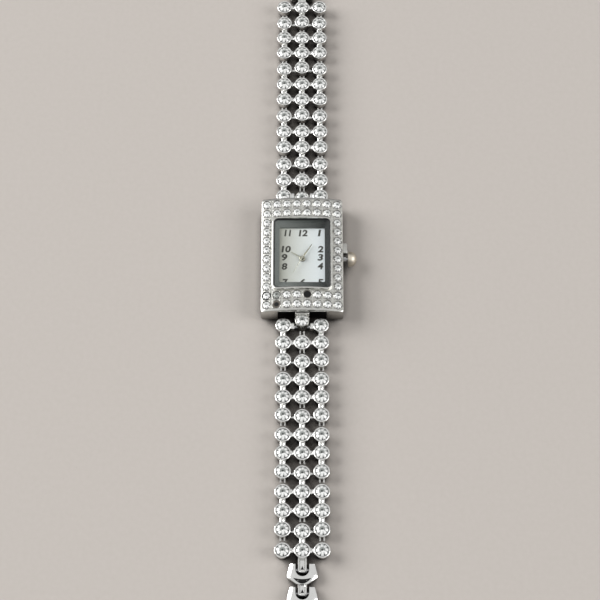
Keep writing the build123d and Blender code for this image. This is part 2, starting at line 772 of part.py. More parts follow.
def tongue(side, start, pivot):
    """A flat tongue that ends in a round eye for the next link's pin."""
    with BuildPart() as blade:
        with BuildSketch(side_plane(side)):
            with Locations(((start + pivot) / 2, PIN_HEIGHT)):
                Rectangle(pivot - start, TONGUE_THICKNESS)
            with Locations((pivot, PIN_HEIGHT)):
                facet_disc(TONGUE_RADIUS, EYE_SIDES)
                facet_hole(PIN_RADIUS + RUNNING_FIT, PIN_SIDES)
        extrude(amount=TONGUE_WIDTH / 2, both=True)
    return blade.part


def strap_bars(group, side):
    """One rigid group: two outer bars and a centre bar, joined across by spacers."""
    outer, centre = GROUPS[group]
    with BuildPart() as bars:
        with Locations(strap_plane(side)):
            with Locations(*[(x, distance, 0) for x, distance in group_cups(group)]):
                add(cup_blank)
        if neck_places(group):
            with BuildSketch(strap_plane(side, NECK_BOTTOM)):
                with Locations(*neck_places(group)):
                    Rectangle(NECK_WIDTH, ROW_PITCH - 2 * NECK_BITE)
            extrude(amount=NECK_TOP - NECK_BOTTOM)
        if prong_places(group):
            with BuildSketch(strap_plane(side, PRONG_BOTTOM)):
                with Locations(*prong_places(group)):
                    Rectangle(NECK_WIDTH, PRONG_LENGTH)
            extrude(amount=NECK_TOP - PRONG_BOTTOM)
        for row in sorted(set(outer) & set(centre)):
            for span in both_flanks(SPACER_BITE, COLUMN_PITCH - SPACER_BITE):
                add(cross_rod(side, row_distance(row, 0), SPACER_HEIGHT, SPACER_RADIUS, span, SPACER_SIDES))
        if group == 0:
            for span in both_flanks(BARREL_START, COLUMN_PITCH - NECK_BITE):
                add(cross_rod(side, FIRST_ROW, BAR_HEIGHT, BARREL_RADIUS, span, BARREL_SIDES))
            bore_radius = BAR_RADIUS + RUNNING_FIT
            bore = cross_rod(side, FIRST_ROW, BAR_HEIGHT, bore_radius, BAR_BORE, BARREL_SIDES, True)
        else:
            pivot = pivot_distance(PIVOT_ROWS[group])
            add(cross_rod(side, pivot, PIN_HEIGHT, TUBE_RADIUS, (-TUBE_REACH, TUBE_REACH), TUBE_SIDES))
            bore = cross_rod(side, pivot, PIN_HEIGHT, PIN_RADIUS + RUNNING_FIT, TUBE_BORE, TUBE_SIDES, True)
        add(bore, mode=Mode.SUBTRACT)
        if group < len(GROUPS) - 1:
            pivot = pivot_distance(PIVOT_ROWS[group + 1])
            add(cross_rod(side, pivot, PIN_HEIGHT, PIN_RADIUS, (-PIN_REACH, PIN_REACH), PIN_SIDES))
        else:
            add(tongue(side, last_row + 1.2, end_pivots[0]))
        with Locations(strap_plane(side, CUP_HEIGHT)):
            with Locations(*[(x, distance, 0) for x, distance in group_cups(group)]):
                add(cup_seat, mode=Mode.SUBTRACT)
    return bars


def strap_stones(group, side):
    """The stones of one group, one to a cup."""
    with BuildPart() as stones:
        with Locations(strap_plane(side, CUP_HEIGHT - GIRDLE_DROP)):
            with Locations(*[(x, distance, 0) for x, distance in group_cups(group)]):
                add(cup_stone)
    return stones


for clock, side in SIDES.items():
    for group in range(len(GROUPS)):
        keep(strap_bars(group, side), f"strap{clock}_bars_{group + 1}")
        keep(strap_stones(group, side), f"strap{clock}_stones_{group + 1}")

# End links


def notch_sketch(start):
    """The round-bottomed notch that takes a tongue, open towards the case."""
    with BuildSketch(mode=Mode.PRIVATE) as notch:
        straight = NOTCH_DEPTH - NOTCH_WIDTH / 2
        with Locations((0, start + straight / 2)):
            Rectangle(NOTCH_WIDTH, straight + 0.02)
        with Locations((0, start + straight)):
            facet_disc(NOTCH_WIDTH / 2, EYE_SIDES)
    return notch.sketch


def end_link(side, start):
    """A bevelled six-sided link with a notch on the case side and its own tongue."""
    left = [(-half, start + distance) for half, distance in LINK_OUTLINE]
    right = [(half, start + distance) for half, distance in reversed(LINK_OUTLINE)]
    outline = left + right
    with BuildPart() as link:
        with BuildSketch(strap_plane(side, LINK_BOTTOM)):
            with BuildLine():
                Polyline(*outline, close=True)
            make_face()
        extrude(amount=LINK_TOP - LINK_BOTTOM)
        chamfer(link.edges().group_by(Axis.Z)[-1], LINK_BEVEL)
        with BuildSketch(strap_plane(side, LINK_BOTTOM)):
            add(notch_sketch(start - 0.01))
        extrude(amount=LINK_TOP - LINK_BOTTOM, mode=Mode.SUBTRACT)
        with BuildSketch(side_plane(side)):
            with Locations((start + LINK_LEAD, PIN_HEIGHT)):
                facet_disc(PIN_RADIUS, PIN_SIDES)
        extrude(amount=LINK_PIN_REACH, both=True, mode=Mode.SUBTRACT)
        add(tongue(side, start + LINK_LENGTH - 1.0, start + LINK_LEAD + LINK_PITCH))
    return link


def link_pin(side, pivot):
    """The plain pin of one end pivot."""
    with BuildPart() as pin:
        add(cross_rod(side, pivot, PIN_HEIGHT, PIN_RADIUS, (-LINK_PIN_REACH, LINK_PIN_REACH), PIN_SIDES))
    return pin


keep(end_link(-1, end_pivots[0] - LINK_LEAD), "end_link6_1")
keep(link_pin(-1, end_pivots[0]), "end_pin6_1")
keep(end_link(-1, end_pivots[1] - LINK_LEAD), "end_link6_2")
keep(link_pin(-1, end_pivots[1]), "end_pin6_2")
keep(end_link(1, end_pivots[0] - LINK_LEAD), "end_link12")
keep(link_pin(1, end_pivots[0]), "end_pin12")

# Catch loop at the 12 o'clock end

catch_start = end_pivots[1] - LINK_LEAD

with BuildPart() as catch_loop:
    with BuildSketch(strap_plane(1, CATCH_BOTTOM)):
        with Locations((0, catch_start + CATCH_LENGTH / 2)):
            soft_rectangle(CATCH_WIDTH, CATCH_LENGTH, 1.1)
        add(notch_sketch(catch_start - 0.01), mode=Mode.SUBTRACT)
        with Locations((0, catch_start + CATCH_LENGTH - CATCH_SLOT[1])):
            Rectangle(*CATCH_SLOT, mode=Mode.SUBTRACT)
    extrude(amount=CATCH_THICKNESS)
    with BuildSketch(side_plane(1)):
        with Locations((end_pivots[1], PIN_HEIGHT)):
            facet_disc(PIN_RADIUS, PIN_SIDES)
    extrude(amount=LINK_PIN_REACH, both=True, mode=Mode.SUBTRACT)
keep(catch_loop, "catch_loop")
keep(link_pin(1, end_pivots[1]), "catch_pin")

# Fold-over clasp at the 6 o'clock end

clasp_start = end_pivots[2] - LINK_LEAD
cover_pivot = clasp_start + CLASP_LENGTH - 0.75
cover_bottom = CLASP_TOP + COVER_GAP
cover_inner = CLASP_WIDTH / 2 + COVER_GAP

with BuildPart() as clasp_base:
    with BuildSketch(side_plane(-1)):
        with BuildLine():
            Polyline(
                (clasp_start, CLASP_BOTTOM), (cover_pivot - 1.1, CLASP_BOTTOM), (cover_pivot, 1.1),
                (cover_pivot, CLASP_TOP), (clasp_start, CLASP_TOP), close=True,
            )
        make_face()
        with Locations((cover_pivot, COVER_PIVOT_HEIGHT)):
            facet_disc(CLASP_TOP - COVER_PIVOT_HEIGHT, EYE_SIDES)
    extrude(amount=CLASP_WIDTH / 2, both=True)
    with BuildSketch(strap_plane(-1, CLASP_BOTTOM + CLASP_WALL)):
        with Locations((0, clasp_start + CLASP_BLOCK)):
            Rectangle(CLASP_WIDTH - 2 * CLASP_WALL, CLASP_LENGTH, align=(Align.CENTER, Align.MIN))
    extrude(amount=CLASP_TOP, mode=Mode.SUBTRACT)
    with BuildSketch(strap_plane(-1)):
        add(notch_sketch(clasp_start - 0.01))
    extrude(amount=CLASP_TOP, mode=Mode.SUBTRACT)
    with BuildSketch(side_plane(-1)):
        with Locations((end_pivots[2], PIN_HEIGHT)):
            facet_disc(PIN_RADIUS, PIN_SIDES)
    extrude(amount=LINK_PIN_REACH, both=True, mode=Mode.SUBTRACT)
    with BuildSketch(side_plane(-1)):
        with Locations((cover_pivot, COVER_PIVOT_HEIGHT)):
            RegularPolygon(PIN_RADIUS + RUNNING_FIT, PIN_SIDES, major_radius=False)
    extrude(amount=CLASP_WIDTH, both=True, mode=Mode.SUBTRACT)
    # hook that the catch loop slips over
    with BuildSketch(side_plane(-1)):
        with BuildLine():
            hook = clasp_start + 8.0
            Polyline(
                (hook, 0.9), (hook, 2.3), (hook - 1.5, 2.3), (hook - 1.5, 1.9), (hook - 0.7, 1.9),
                (hook - 0.7, 0.9), close=True,
            )
        make_face()
    extrude(amount=1.0, both=True)
keep(clasp_base, "clasp_base")
keep(link_pin(-1, end_pivots[2]), "clasp_link_pin")

with BuildPart() as clasp_cover:
    cover_start = clasp_start + CLASP_BLOCK - 1.0
    with BuildSketch(side_plane(-1)):
        with BuildLine():
            Polyline(
                (cover_start, 1.5), (cover_pivot, 1.1), (cover_pivot, cover_bottom + COVER_PLATE),
                (cover_start, cover_bottom + COVER_PLATE), close=True,
            )
        make_face()
        with Locations((cover_pivot, COVER_PIVOT_HEIGHT)):
            facet_disc(CLASP_TOP - COVER_PIVOT_HEIGHT, EYE_SIDES)
    extrude(amount=cover_inner + COVER_PLATE, both=True)
    with BuildSketch(strap_plane(-1)):
        with Locations((0, cover_start - 1)):
            Rectangle(2 * cover_inner, CLASP_LENGTH, align=(Align.CENTER, Align.MIN))
    extrude(amount=cover_bottom, mode=Mode.SUBTRACT)
    with BuildSketch(side_plane(-1)):
        with Locations((cover_pivot, COVER_PIVOT_HEIGHT)):
            facet_disc(PIN_RADIUS, PIN_SIDES)
    extrude(amount=CLASP_WIDTH, both=True, mode=Mode.SUBTRACT)
    chamfer(clasp_cover.edges().filter_by(Axis.Y).group_by(Axis.Z)[-1], 0.45)
keep(clasp_cover, "clasp_cover")

with BuildPart() as cover_pin:
    with BuildSketch(side_plane(-1)):
        with Locations((cover_pivot, COVER_PIVOT_HEIGHT)):
            facet_disc(PIN_RADIUS, PIN_SIDES)
    extrude(amount=cover_inner + COVER_PLATE, both=True)
keep(cover_pin, "cover_pin")
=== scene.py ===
"""Ladies' bracelet watch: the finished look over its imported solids.

Sizes in the classes are millimetres of the shared frame: +X to the crown, +Y to 12 o'clock, +Z up
through the dial. Meshes are turned to metres when they are built.
"""

import json
import logging
from dataclasses import dataclass, field
from enum import Enum
from math import atan2, cos, hypot, pi, radians, sin

import bmesh
import bpy
import numpy as np
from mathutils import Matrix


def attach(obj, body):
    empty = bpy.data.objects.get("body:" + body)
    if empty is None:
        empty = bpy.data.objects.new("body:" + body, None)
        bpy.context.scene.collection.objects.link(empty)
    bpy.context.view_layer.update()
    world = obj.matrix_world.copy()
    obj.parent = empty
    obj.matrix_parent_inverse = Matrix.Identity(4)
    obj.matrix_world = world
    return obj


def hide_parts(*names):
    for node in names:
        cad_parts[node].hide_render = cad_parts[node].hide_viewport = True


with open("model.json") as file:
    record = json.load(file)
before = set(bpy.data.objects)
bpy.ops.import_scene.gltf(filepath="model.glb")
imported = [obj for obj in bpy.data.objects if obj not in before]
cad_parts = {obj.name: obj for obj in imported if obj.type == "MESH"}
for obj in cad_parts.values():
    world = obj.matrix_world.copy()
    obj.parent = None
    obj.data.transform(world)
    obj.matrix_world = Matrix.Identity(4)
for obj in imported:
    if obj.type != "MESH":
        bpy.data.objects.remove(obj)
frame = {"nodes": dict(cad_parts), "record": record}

MM = 0.001
LOG = logging.getLogger("bracelet_watch")
# Corners, UVs and faces of a small solid
SolidParts = tuple[np.ndarray, np.ndarray, list[tuple[int, ...]]]

# Driving sizes of the head: the case, the arch of its face, and the opening for the crystal
CASE_WIDTH = 21.0
CASE_LENGTH = 32.2
FACE_CREST = 7.0
FACE_FALL = 1.4
FACE_RADIUS = ((CASE_WIDTH / 2) ** 2 + FACE_FALL**2) / (2 * FACE_FALL)
OPENING = (14.5, 19.6)
OPENING_CORNER = 1.0
# Height of the bracelet's pivots past the lugs
PIVOT_HEIGHT = 1.75


# Colour and node helpers


def to_linear(hex_colour: str) -> tuple[float, float, float, float]:
    """Turns an sRGB hex value to linear red, green, blue and alpha.

    Args:
        hex_colour: a value such as "#A0B0C0".
    Returns:
        The linear colour with alpha 1.
    """
    raw = np.array([int(hex_colour[i:i + 2], 16) for i in (1, 3, 5)]) / 255
    linear = np.where(raw <= 0.04045, raw / 12.92, ((raw + 0.055) / 1.055) ** 2.4)
    return (*linear.tolist(), 1.0)


def add_node(tree: bpy.types.NodeTree, kind: str, inputs: dict | None = None, **settings) -> bpy.types.Node:
    """Adds one node with its settings, values and links.

    Args:
        tree: the material's or the world's node tree.
        kind: the node's type name.
        inputs: socket name or index to a value or to another node's output.
        settings: properties of the node itself.
    Returns:
        The new node.
    """
    node = tree.nodes.new(kind)
    for key, value in settings.items():
        setattr(node, key, value)
    for socket, value in (inputs or {}).items():
        if isinstance(value, bpy.types.NodeSocket):
            tree.links.new(value, node.inputs[socket])
        else:
            node.inputs[socket].default_value = value
    return node


def fresh_material(name: str) -> tuple[bpy.types.Material, bpy.types.NodeTree, bpy.types.Node]:
    """Makes an empty material.

    Args:
        name: the finish's name.
    Returns:
        The material, its node tree and its output node.
    """
    material = bpy.data.materials.new(name)
    material.use_nodes = True
    tree = material.node_tree
    tree.nodes.clear()
    return material, tree, tree.nodes.new("ShaderNodeOutputMaterial")


def set_stops(ramp: bpy.types.Node, stops: tuple[tuple[float, str], ...]) -> bpy.types.NodeSocket:
    """Gives a colour ramp its stops.

    Args:
        ramp: the colour ramp's node.
        stops: places from 0 to 1 and hex colours, in order.
    Returns:
        The ramp's colour output.
    """
    row = ramp.color_ramp.elements
    while len(row) < len(stops):
        row.new(0.5)
    for element, (place, colour) in zip(row, stops):
        element.position = place
        element.color = to_linear(colour)
    return ramp.outputs[0]


# Finishes


@dataclass(frozen=True)
class MetalFinish:
    """A bare or plated metal: fine grain left by its tool, and duller patches where it is handled.

    Grain, patch and relief are the width of the grain, the width of the patches and the depth of the
    grain in millimetres. Stretch scales the grain's coordinates, so a small value draws it out along
    that axis. Low shade, where there is any, is painted shade: the pair of heights between which a
    dark tone low down clears to the metal's own.
    """

    name: str
    colour: str
    dull: str
    roughness: float
    grain: float = 0.25
    stretch: tuple[float, float, float] = (1.0, 1.0, 1.0)
    relief: float = 0.004
    patch: float = 3.0
    low_shade: tuple[float, float] | None = None
    low_shade_colour: str = "#2A2620"

    def make(self) -> bpy.types.Material:
        """Makes the metal: its tone follows the patches, its sheen and relief follow the grain.

        Returns:
            The metal's material.
        """
        material, tree, output = fresh_material(self.name)
        place = add_node(tree, "ShaderNodeTexCoord").outputs["Object"]
        along = add_node(tree, "ShaderNodeMapping", {"Vector": place, "Scale": self.stretch}).outputs[0]
        grain = add_node(tree, "ShaderNodeTexNoise", {
            "Vector": along, "Scale": 1 / (self.grain * MM), "Detail": 4.0,
        })
        patch = add_node(tree, "ShaderNodeTexNoise", {
            "Vector": place, "Scale": 1 / (self.patch * MM), "Detail": 3.0,
        })
        blend = add_node(tree, "ShaderNodeMix", {
            0: patch.outputs[0], "A": to_linear(self.colour), "B": to_linear(self.dull),
        }, data_type="RGBA")
        if self.low_shade:
            # painted shade: the metal darkens low down, between the cups, under the links and down the case
            # walls
            height = add_node(tree, "ShaderNodeSeparateXYZ", {0: place}).outputs[2]
            low = add_node(tree, "ShaderNodeMapRange", {
                0: height, 1: self.low_shade[0] * MM, 2: self.low_shade[1] * MM,
            }).outputs[0]
            blend = add_node(tree, "ShaderNodeMix", {
                0: low, "A": to_linear(self.low_shade_colour), "B": blend.outputs[2],
            }, data_type="RGBA")
        sheen = add_node(tree, "ShaderNodeMapRange", {
            0: grain.outputs[0], 3: self.roughness * 0.75, 4: self.roughness * 1.35,
        })
        bump = add_node(tree, "ShaderNodeBump", {
            "Height": grain.outputs[0], "Strength": 0.35, "Distance": self.relief * MM,
        })
        shader = add_node(tree, "ShaderNodeBsdfPrincipled", {
            "Base Color": blend.outputs[2], "Roughness": sheen.outputs[0], "Normal": bump.outputs[0],
            "Metallic": 1.0,
        })
        tree.links.new(shader.outputs[0], output.inputs[0])
        return material


@dataclass(frozen=True)
class CoatFinish:
    """Paint, plastic, rubber, ink, cement, oxide or painted shade: a mottled colour with a fine skin.

    Grain and relief are the width and depth of the mottling in millimetres. Right, where it is given, is
    the colour that the coat drifts to at the right edge of the window, as painted light and shade, and
    gloss is the share of clear reflection.
    """

    name: str
    colour: str
    shade: str
    roughness: float
    grain: float = 0.2
    relief: float = 0.004
    metallic: float = 0.0
    right: str = ""
    drift: float = 6.0
    gloss: float = 0.5

    def make(self) -> bpy.types.Material:
        """Makes the coat: its tone and relief follow one grain.

        Returns:
            The coat's material.
        """
        material, tree, output = fresh_material(self.name)
        place = add_node(tree, "ShaderNodeTexCoord").outputs["Object"]
        grain = add_node(tree, "ShaderNodeTexNoise", {
            "Vector": place, "Scale": 1 / (self.grain * MM), "Detail": 5.0,
        })
        blend = add_node(tree, "ShaderNodeMix", {
            0: grain.outputs[0], "A": to_linear(self.colour), "B": to_linear(self.shade),
        }, data_type="RGBA")
        if self.right:
            # painted light and shade: the coat's tone drifts from the left of the dial to its right
            across = add_node(tree, "ShaderNodeSeparateXYZ", {0: place}).outputs[0]
            drift = add_node(tree, "ShaderNodeMapRange", {
                0: across, 1: -self.drift * MM, 2: self.drift * MM,
            }).outputs[0]
            blend = add_node(tree, "ShaderNodeMix", {
                0: drift, "A": blend.outputs[2], "B": to_linear(self.right),
            }, data_type="RGBA")
        bump = add_node(tree, "ShaderNodeBump", {
            "Height": grain.outputs[0], "Strength": 0.3, "Distance": self.relief * MM,
        })
        shader = add_node(tree, "ShaderNodeBsdfPrincipled", {
            "Base Color": blend.outputs[2], "Normal": bump.outputs[0], "Roughness": self.roughness,
            "Metallic": self.metallic, "Specular IOR Level": self.gloss,
        })
        tree.links.new(shader.outputs[0], output.inputs[0])
        return material


@dataclass(frozen=True)
class PaperFinish:
    """Matte studio paper with painted shade: it grows dark where the watch closes it in.

    Reach is how far in millimetres the paper looks for the watch, and closed is the share of open sky at
    which it is wholly dark and wholly clear.
    """

    name: str = "pale_studio_paper"
    colour: str = "#CAC3BD"
    shade: str = "#C3BCB5"
    gap_shade: str = "#1C1713"
    grain: float = 1.2
    reach: float = 4.0
    closed: tuple[float, float] = (0.34, 0.66)
    roughness: float = 0.9

    def make(self) -> bpy.types.Material:
        """Makes the paper: two tones of one grain, and painted shade in the gaps of the bracelet.

        Returns:
            The paper's material.
        """
        material, tree, output = fresh_material(self.name)
        place = add_node(tree, "ShaderNodeTexCoord").outputs["Object"]
        grain = add_node(tree, "ShaderNodeTexNoise", {
            "Vector": place, "Scale": 1 / (self.grain * MM), "Detail": 5.0,
        })
        blend = add_node(tree, "ShaderNodeMix", {
            0: grain.outputs[0], "A": to_linear(self.colour), "B": to_linear(self.shade),
        }, data_type="RGBA")
        # the share of open sky within the reach
        sky = add_node(tree, "ShaderNodeAmbientOcclusion", {"Distance": self.reach * MM}, samples=8)
        clear = add_node(tree, "ShaderNodeMapRange", {
            0: sky.outputs["AO"], 1: self.closed[0], 2: self.closed[1],
        })
        # painted shade: the paper turns dark where little open sky is within the reach
        tone = add_node(tree, "ShaderNodeMix", {
            0: clear.outputs[0], "A": to_linear(self.gap_shade), "B": blend.outputs[2],
        }, data_type="RGBA")
        shader = add_node(tree, "ShaderNodeBsdfPrincipled", {
            "Base Color": tone.outputs[2], "Roughness": self.roughness,
        })
        tree.links.new(shader.outputs[0], output.inputs[0])
        return material


@dataclass(frozen=True)
class FoiledCrystal:
    """Cut crystal with a silvered back, its sparkle a painted reflection: white petals round a small dark
    point.

    The stone's own UV holds its place over its radius, so the pattern turns with each stone. From the
    centre outwards the painted reflection shows the point in its halo, a core with a painted glint on
    one side, petals, and the dark and bright facets along the girdle; painted shade darkens the far half.
    """

    name: str = "foil_backed_crystal_painted_reflection"
    bright: str = "#FBFBF9"
    pale: str = "#DEE0DE"
    middle: str = "#C2C5C3"
    dark: str = "#5A5E5C"
    point: str = "#2E312F"
    halo: str = "#8F928F"
    petals: int = 8
    glare_turn: float = -1.35
    girdle_turn: float = 0.6
    core_edge: tuple[float, float] = (0.2, 0.03)
    petal_edge: tuple[float, float] = (0.48, 0.06)
    girdle_edge: tuple[float, float] = (0.76, 0.04)
    far_shade: float = 0.35

    def make(self) -> bpy.types.Material:
        """Makes the crystal: each zone of the pattern covers the one before it past its own radius.

        Returns:
            The stones' material.
        """
        material, tree, output = fresh_material(self.name)
        place = add_node(tree, "ShaderNodeTexCoord").outputs["UV"]
        split = add_node(tree, "ShaderNodeSeparateXYZ", {0: place})
        reach = add_node(tree, "ShaderNodeVectorMath", {0: place}, operation="LENGTH").outputs["Value"]
        turn = add_node(tree, "ShaderNodeMath", {
            0: split.outputs[1], 1: split.outputs[0],
        }, operation="ARCTAN2")

        def spokes(count: float, shift: float) -> bpy.types.NodeSocket:
            """A wave round the stone, (1 + cos(count x angle + shift)) / 2.

            Args:
                count: crests round the stone.
                shift: turn of the wave in radians.
            Returns:
                The wave, from 0 to 1.
            """
            angle = add_node(tree, "ShaderNodeMath", {
                0: turn.outputs[0], 1: count, 2: shift,
            }, operation="MULTIPLY_ADD")
            wave = add_node(tree, "ShaderNodeMath", {0: angle.outputs[0]}, operation="COSINE")
            half = add_node(tree, "ShaderNodeMath", {
                0: wave.outputs[0], 1: 0.5, 2: 0.5,
            }, operation="MULTIPLY_ADD")
            return half.outputs[0]

        pattern = set_stops(add_node(tree, "ShaderNodeValToRGB", {0: reach}), (
            (0.0, self.point), (0.14, self.point), (0.22, self.halo), (1.0, self.halo),
        ))
        # painted glint: the core is bright on the side that glare_turn points to
        core = set_stops(add_node(tree, "ShaderNodeValToRGB", {0: spokes(1, -self.glare_turn)}), (
            (0.0, self.halo), (0.8, self.halo), (0.88, self.bright), (1.0, self.bright),
        ))
        petal = set_stops(add_node(tree, "ShaderNodeValToRGB", {0: spokes(self.petals, 0.0)}), (
            (0.0, self.middle), (0.16, self.pale), (0.5, self.bright), (1.0, self.bright),
        ))
        girdle = set_stops(add_node(tree, "ShaderNodeValToRGB", {0: spokes(self.petals, self.girdle_turn)}), (
            (0.0, self.dark), (0.1, self.dark), (0.34, self.bright), (1.0, self.bright),
        ))
        zones = ((core, self.core_edge), (petal, self.petal_edge), (girdle, self.girdle_edge))
        for zone, (edge, soft) in zones:
            outside = add_node(tree, "ShaderNodeMapRange", {0: reach, 1: edge - soft, 2: edge + soft})
            pattern = add_node(tree, "ShaderNodeMix", {
                0: outside.outputs[0], "A": pattern, "B": zone,
            }, data_type="RGBA").outputs[2]
        # painted shade: the far half of a stone is darkened, as if it looked into its own shaded wall
        shaded = add_node(tree, "ShaderNodeMapRange", {
            0: split.outputs[1], 1: -0.1, 2: 0.8, 3: 0.0, 4: self.far_shade,
        })
        pattern = add_node(tree, "ShaderNodeMix", {
            0: shaded.outputs[0], "A": pattern, "B": to_linear(self.middle),
        }, data_type="RGBA").outputs[2]
        shader = add_node(tree, "ShaderNodeBsdfPrincipled", {
            "Base Color": pattern, "Metallic": 0.1, "Roughness": 0.25,
            "Coat Weight": 0.2, "Coat Roughness": 0.06,
        })
        tree.links.new(shader.outputs[0], output.inputs[0])
        return material


@dataclass(frozen=True)
class WindowGlass:
    """Polished mineral glass, thin enough that it only tints and mirrors.

    Smear is the width in millimetres of the faint smears that vary its sheen.
    """

    name: str = "polished_mineral_glass"
    tint: str = "#FEFEFE"
    ior: float = 1.45
    smear: float = 2.2
    sheen: tuple[float, float] = (0.03, 0.06)

    def make(self) -> bpy.types.Material:
        """Makes the glass: clear straight through, mirroring by its Fresnel share.

        Returns:
            The crystal's material.
        """
        material, tree, output = fresh_material(self.name)
        place = add_node(tree, "ShaderNodeTexCoord").outputs["Object"]
        haze = add_node(tree, "ShaderNodeTexNoise", {
            "Vector": place, "Scale": 1 / (self.smear * MM), "Detail": 3.0,
        })
        sheen = add_node(tree, "ShaderNodeMapRange", {0: haze.outputs[0], 3: self.sheen[0], 4: self.sheen[1]})
        clear = add_node(tree, "ShaderNodeBsdfTransparent", {0: to_linear(self.tint)})
        mirror = add_node(tree, "ShaderNodeBsdfGlossy", {"Roughness": sheen.outputs[0]})
        edge = add_node(tree, "ShaderNodeFresnel", {"IOR": self.ior})
        # the far side mirrors nothing, because light passes through it unbent
        inside = add_node(tree, "ShaderNodeNewGeometry").outputs["Backfacing"]
        front = add_node(tree, "ShaderNodeMath", {0: 1.0, 1: inside}, operation="SUBTRACT")
        share = add_node(tree, "ShaderNodeMath", {
            0: edge.outputs[0], 1: front.outputs[0],
        }, operation="MULTIPLY")
        both = add_node(tree, "ShaderNodeMixShader", {
            0: share.outputs[0], 1: clear.outputs[0], 2: mirror.outputs[0],
        })
        tree.links.new(both.outputs[0], output.inputs[0])
        return material


class Finish(Enum):
    """Every finish on the watch, named for its real material and how its surface was made."""

    # bright plate over cast alloy: mirrors its surroundings, with a faint orange-peel skin; painted shade
    # darkens it low down, up to 5.2 mm, along the case walls
    POLISHED_PLATE = MetalFinish("polished_rhodium_plate", "#DADAD6", "#B9B8B2", 0.2,
                                 grain=0.3, relief=0.006, patch=1.3, low_shade=(0.4, 5.2))
    # the same plate on the bracelet, made brighter with painted light, and with painted shade low down
    # between the cups
    BRACELET_PLATE = MetalFinish("polished_plate_painted_light_and_low_shade", "#ECECEA", "#D6D6D3", 0.12,
                                 grain=0.35, relief=0.003, low_shade=(0.5, 2.3))
    # painted shade in the bottoms of seats and cups, hollows, notches and slots, and oxide on one worn rim:
    # almost black, with a dull shine
    SEAT_SHADE_AND_OXIDE = CoatFinish("painted_shade_and_oxide_in_seats", "#232323", "#111110", 0.45, metallic=0.6)
    # the glue that stays when a stone is lost: dull, brownish and mottled
    SEAT_CEMENT = CoatFinish("dried_cement_in_empty_seats", "#6E675E", "#38332C", 0.7,
                             grain=0.35, relief=0.02)
    # glass stones silvered behind, with a painted reflection: they flash white, with grey facets between
    CUT_CRYSTAL = FoiledCrystal()
    # a brighter copy of the crystal, with more painted light, for the smaller stones of the case face
    SMALL_CRYSTAL = FoiledCrystal("small_crystal_painted_light", "#FFFFFD", "#E8EAE8", "#CDD0CE",
                                  halo="#B2B5B3")
    # one stone whose foil has gone grey
    CLOUDED_CRYSTAL = FoiledCrystal("clouded_foil_crystal", "#A9ABA6", "#8D908C", "#7C7F7B", "#3A3D3B",
                                    halo="#6A6D6A")
    # clear and colourless, with a soft sheen at low angles
    GLASS = WindowGlass()
    # brushed along the case: fine lines along Y that soften what it mirrors, drawn 0.12 mm wide, which
    # is coarser than real brushing, so that they show
    BRUSHED_BACK = MetalFinish("brushed_stainless_back", "#C8C8C6", "#B4B4B2", 0.30,
                               grain=0.12, stretch=(1.0, 0.04, 1.0), relief=0.012)
    # wire drawn along X: a narrow shine with faint lines along its length, drawn coarser than the real
    # ones so that they show
    DRAWN_STEEL = MetalFinish("drawn_steel_wire", "#BDBDBD", "#A2A2A2", 0.24,
                              grain=0.15, stretch=(0.1, 1.0, 1.0))
    # blasted with glass beads and plated: warm grey and matte, with a broad glow; the pits of the beads
    # are drawn 0.14 mm wide, coarser than the real ones, so that they show
    MATTE_CROWN = MetalFinish("bead_blasted_plate", "#D6CEBF", "#BEB6A8", 0.42, grain=0.14, relief=0.012)
    # moulded rubber: a thin dull black line round the glass
    SEAL = CoatFinish("moulded_nitrile_rubber", "#151515", "#26282A", 0.6, grain=0.3)
    # grey-green enamel, with painted shade that darkens it to nearly black at the right
    RING_PAINT = CoatFinish("satin_grey_enamel_ring", "#868C88", "#767C78", 0.62,
                            grain=0.6, right="#222625", gloss=0.2)
    # silvered lacquer with painted light and shade: warm and darker at the left, bluish white at the right
    DIAL_PAINT = CoatFinish("silvered_dial_painted_light_and_shade", "#C9CABC", "#BFC1B4", 0.42, grain=0.35, right="#F4FCFF")
    # a thin film of soft black ink
    DIAL_INK = CoatFinish("pad_printed_ink", "#26261C", "#34342A", 0.55, grain=0.15)
    # brass hands, olive grey on the pale dial: the darker of two copies of the hand metal
    HAND_METAL = MetalFinish("diamond_cut_brass_hands", "#6F6E60", "#5A594C", 0.3,
                             grain=0.1, stretch=(1, 0.2, 1))
    # a lighter copy of the hand metal, with painted light, for the two hands that almost vanish on the dial
    LIT_HAND_METAL = MetalFinish("hand_metal_painted_light", "#C4C4B4", "#AFAF9F", 0.34, grain=0.1, stretch=(1, 0.2, 1))
    # hidden parts: cream plastic, yellow brass, green board, plain steel and orange copper wire
    HOLDER = CoatFinish("moulded_acetal", "#D6D4C8", "#C9C6B8", 0.5)
    MOVEMENT = MetalFinish("grained_movement_brass", "#C3AC6C", "#A9935A", 0.32,
                           grain=0.12, stretch=(1, 0.1, 1))
    CIRCUIT = CoatFinish("solder_masked_board", "#1C4A30", "#123A24", 0.35)
    CELL = MetalFinish("pressed_nickel_steel", "#C6C6C4", "#AFAFAD", 0.28, grain=0.2)
    COPPER = MetalFinish("enamelled_copper_winding", "#B5693C", "#8E4C28", 0.35,
                         grain=0.08, stretch=(0.1, 1, 1))
    # plain matte paper for the studio, which is no part of the watch, with painted shade near and under it
    FLOOR = PaperFinish()

    def material(self) -> bpy.types.Material:
        """Returns the finish's material, made the first time it is asked for."""
        return bpy.data.materials.get(self.value.name) or self.value.make()


# Surfaces


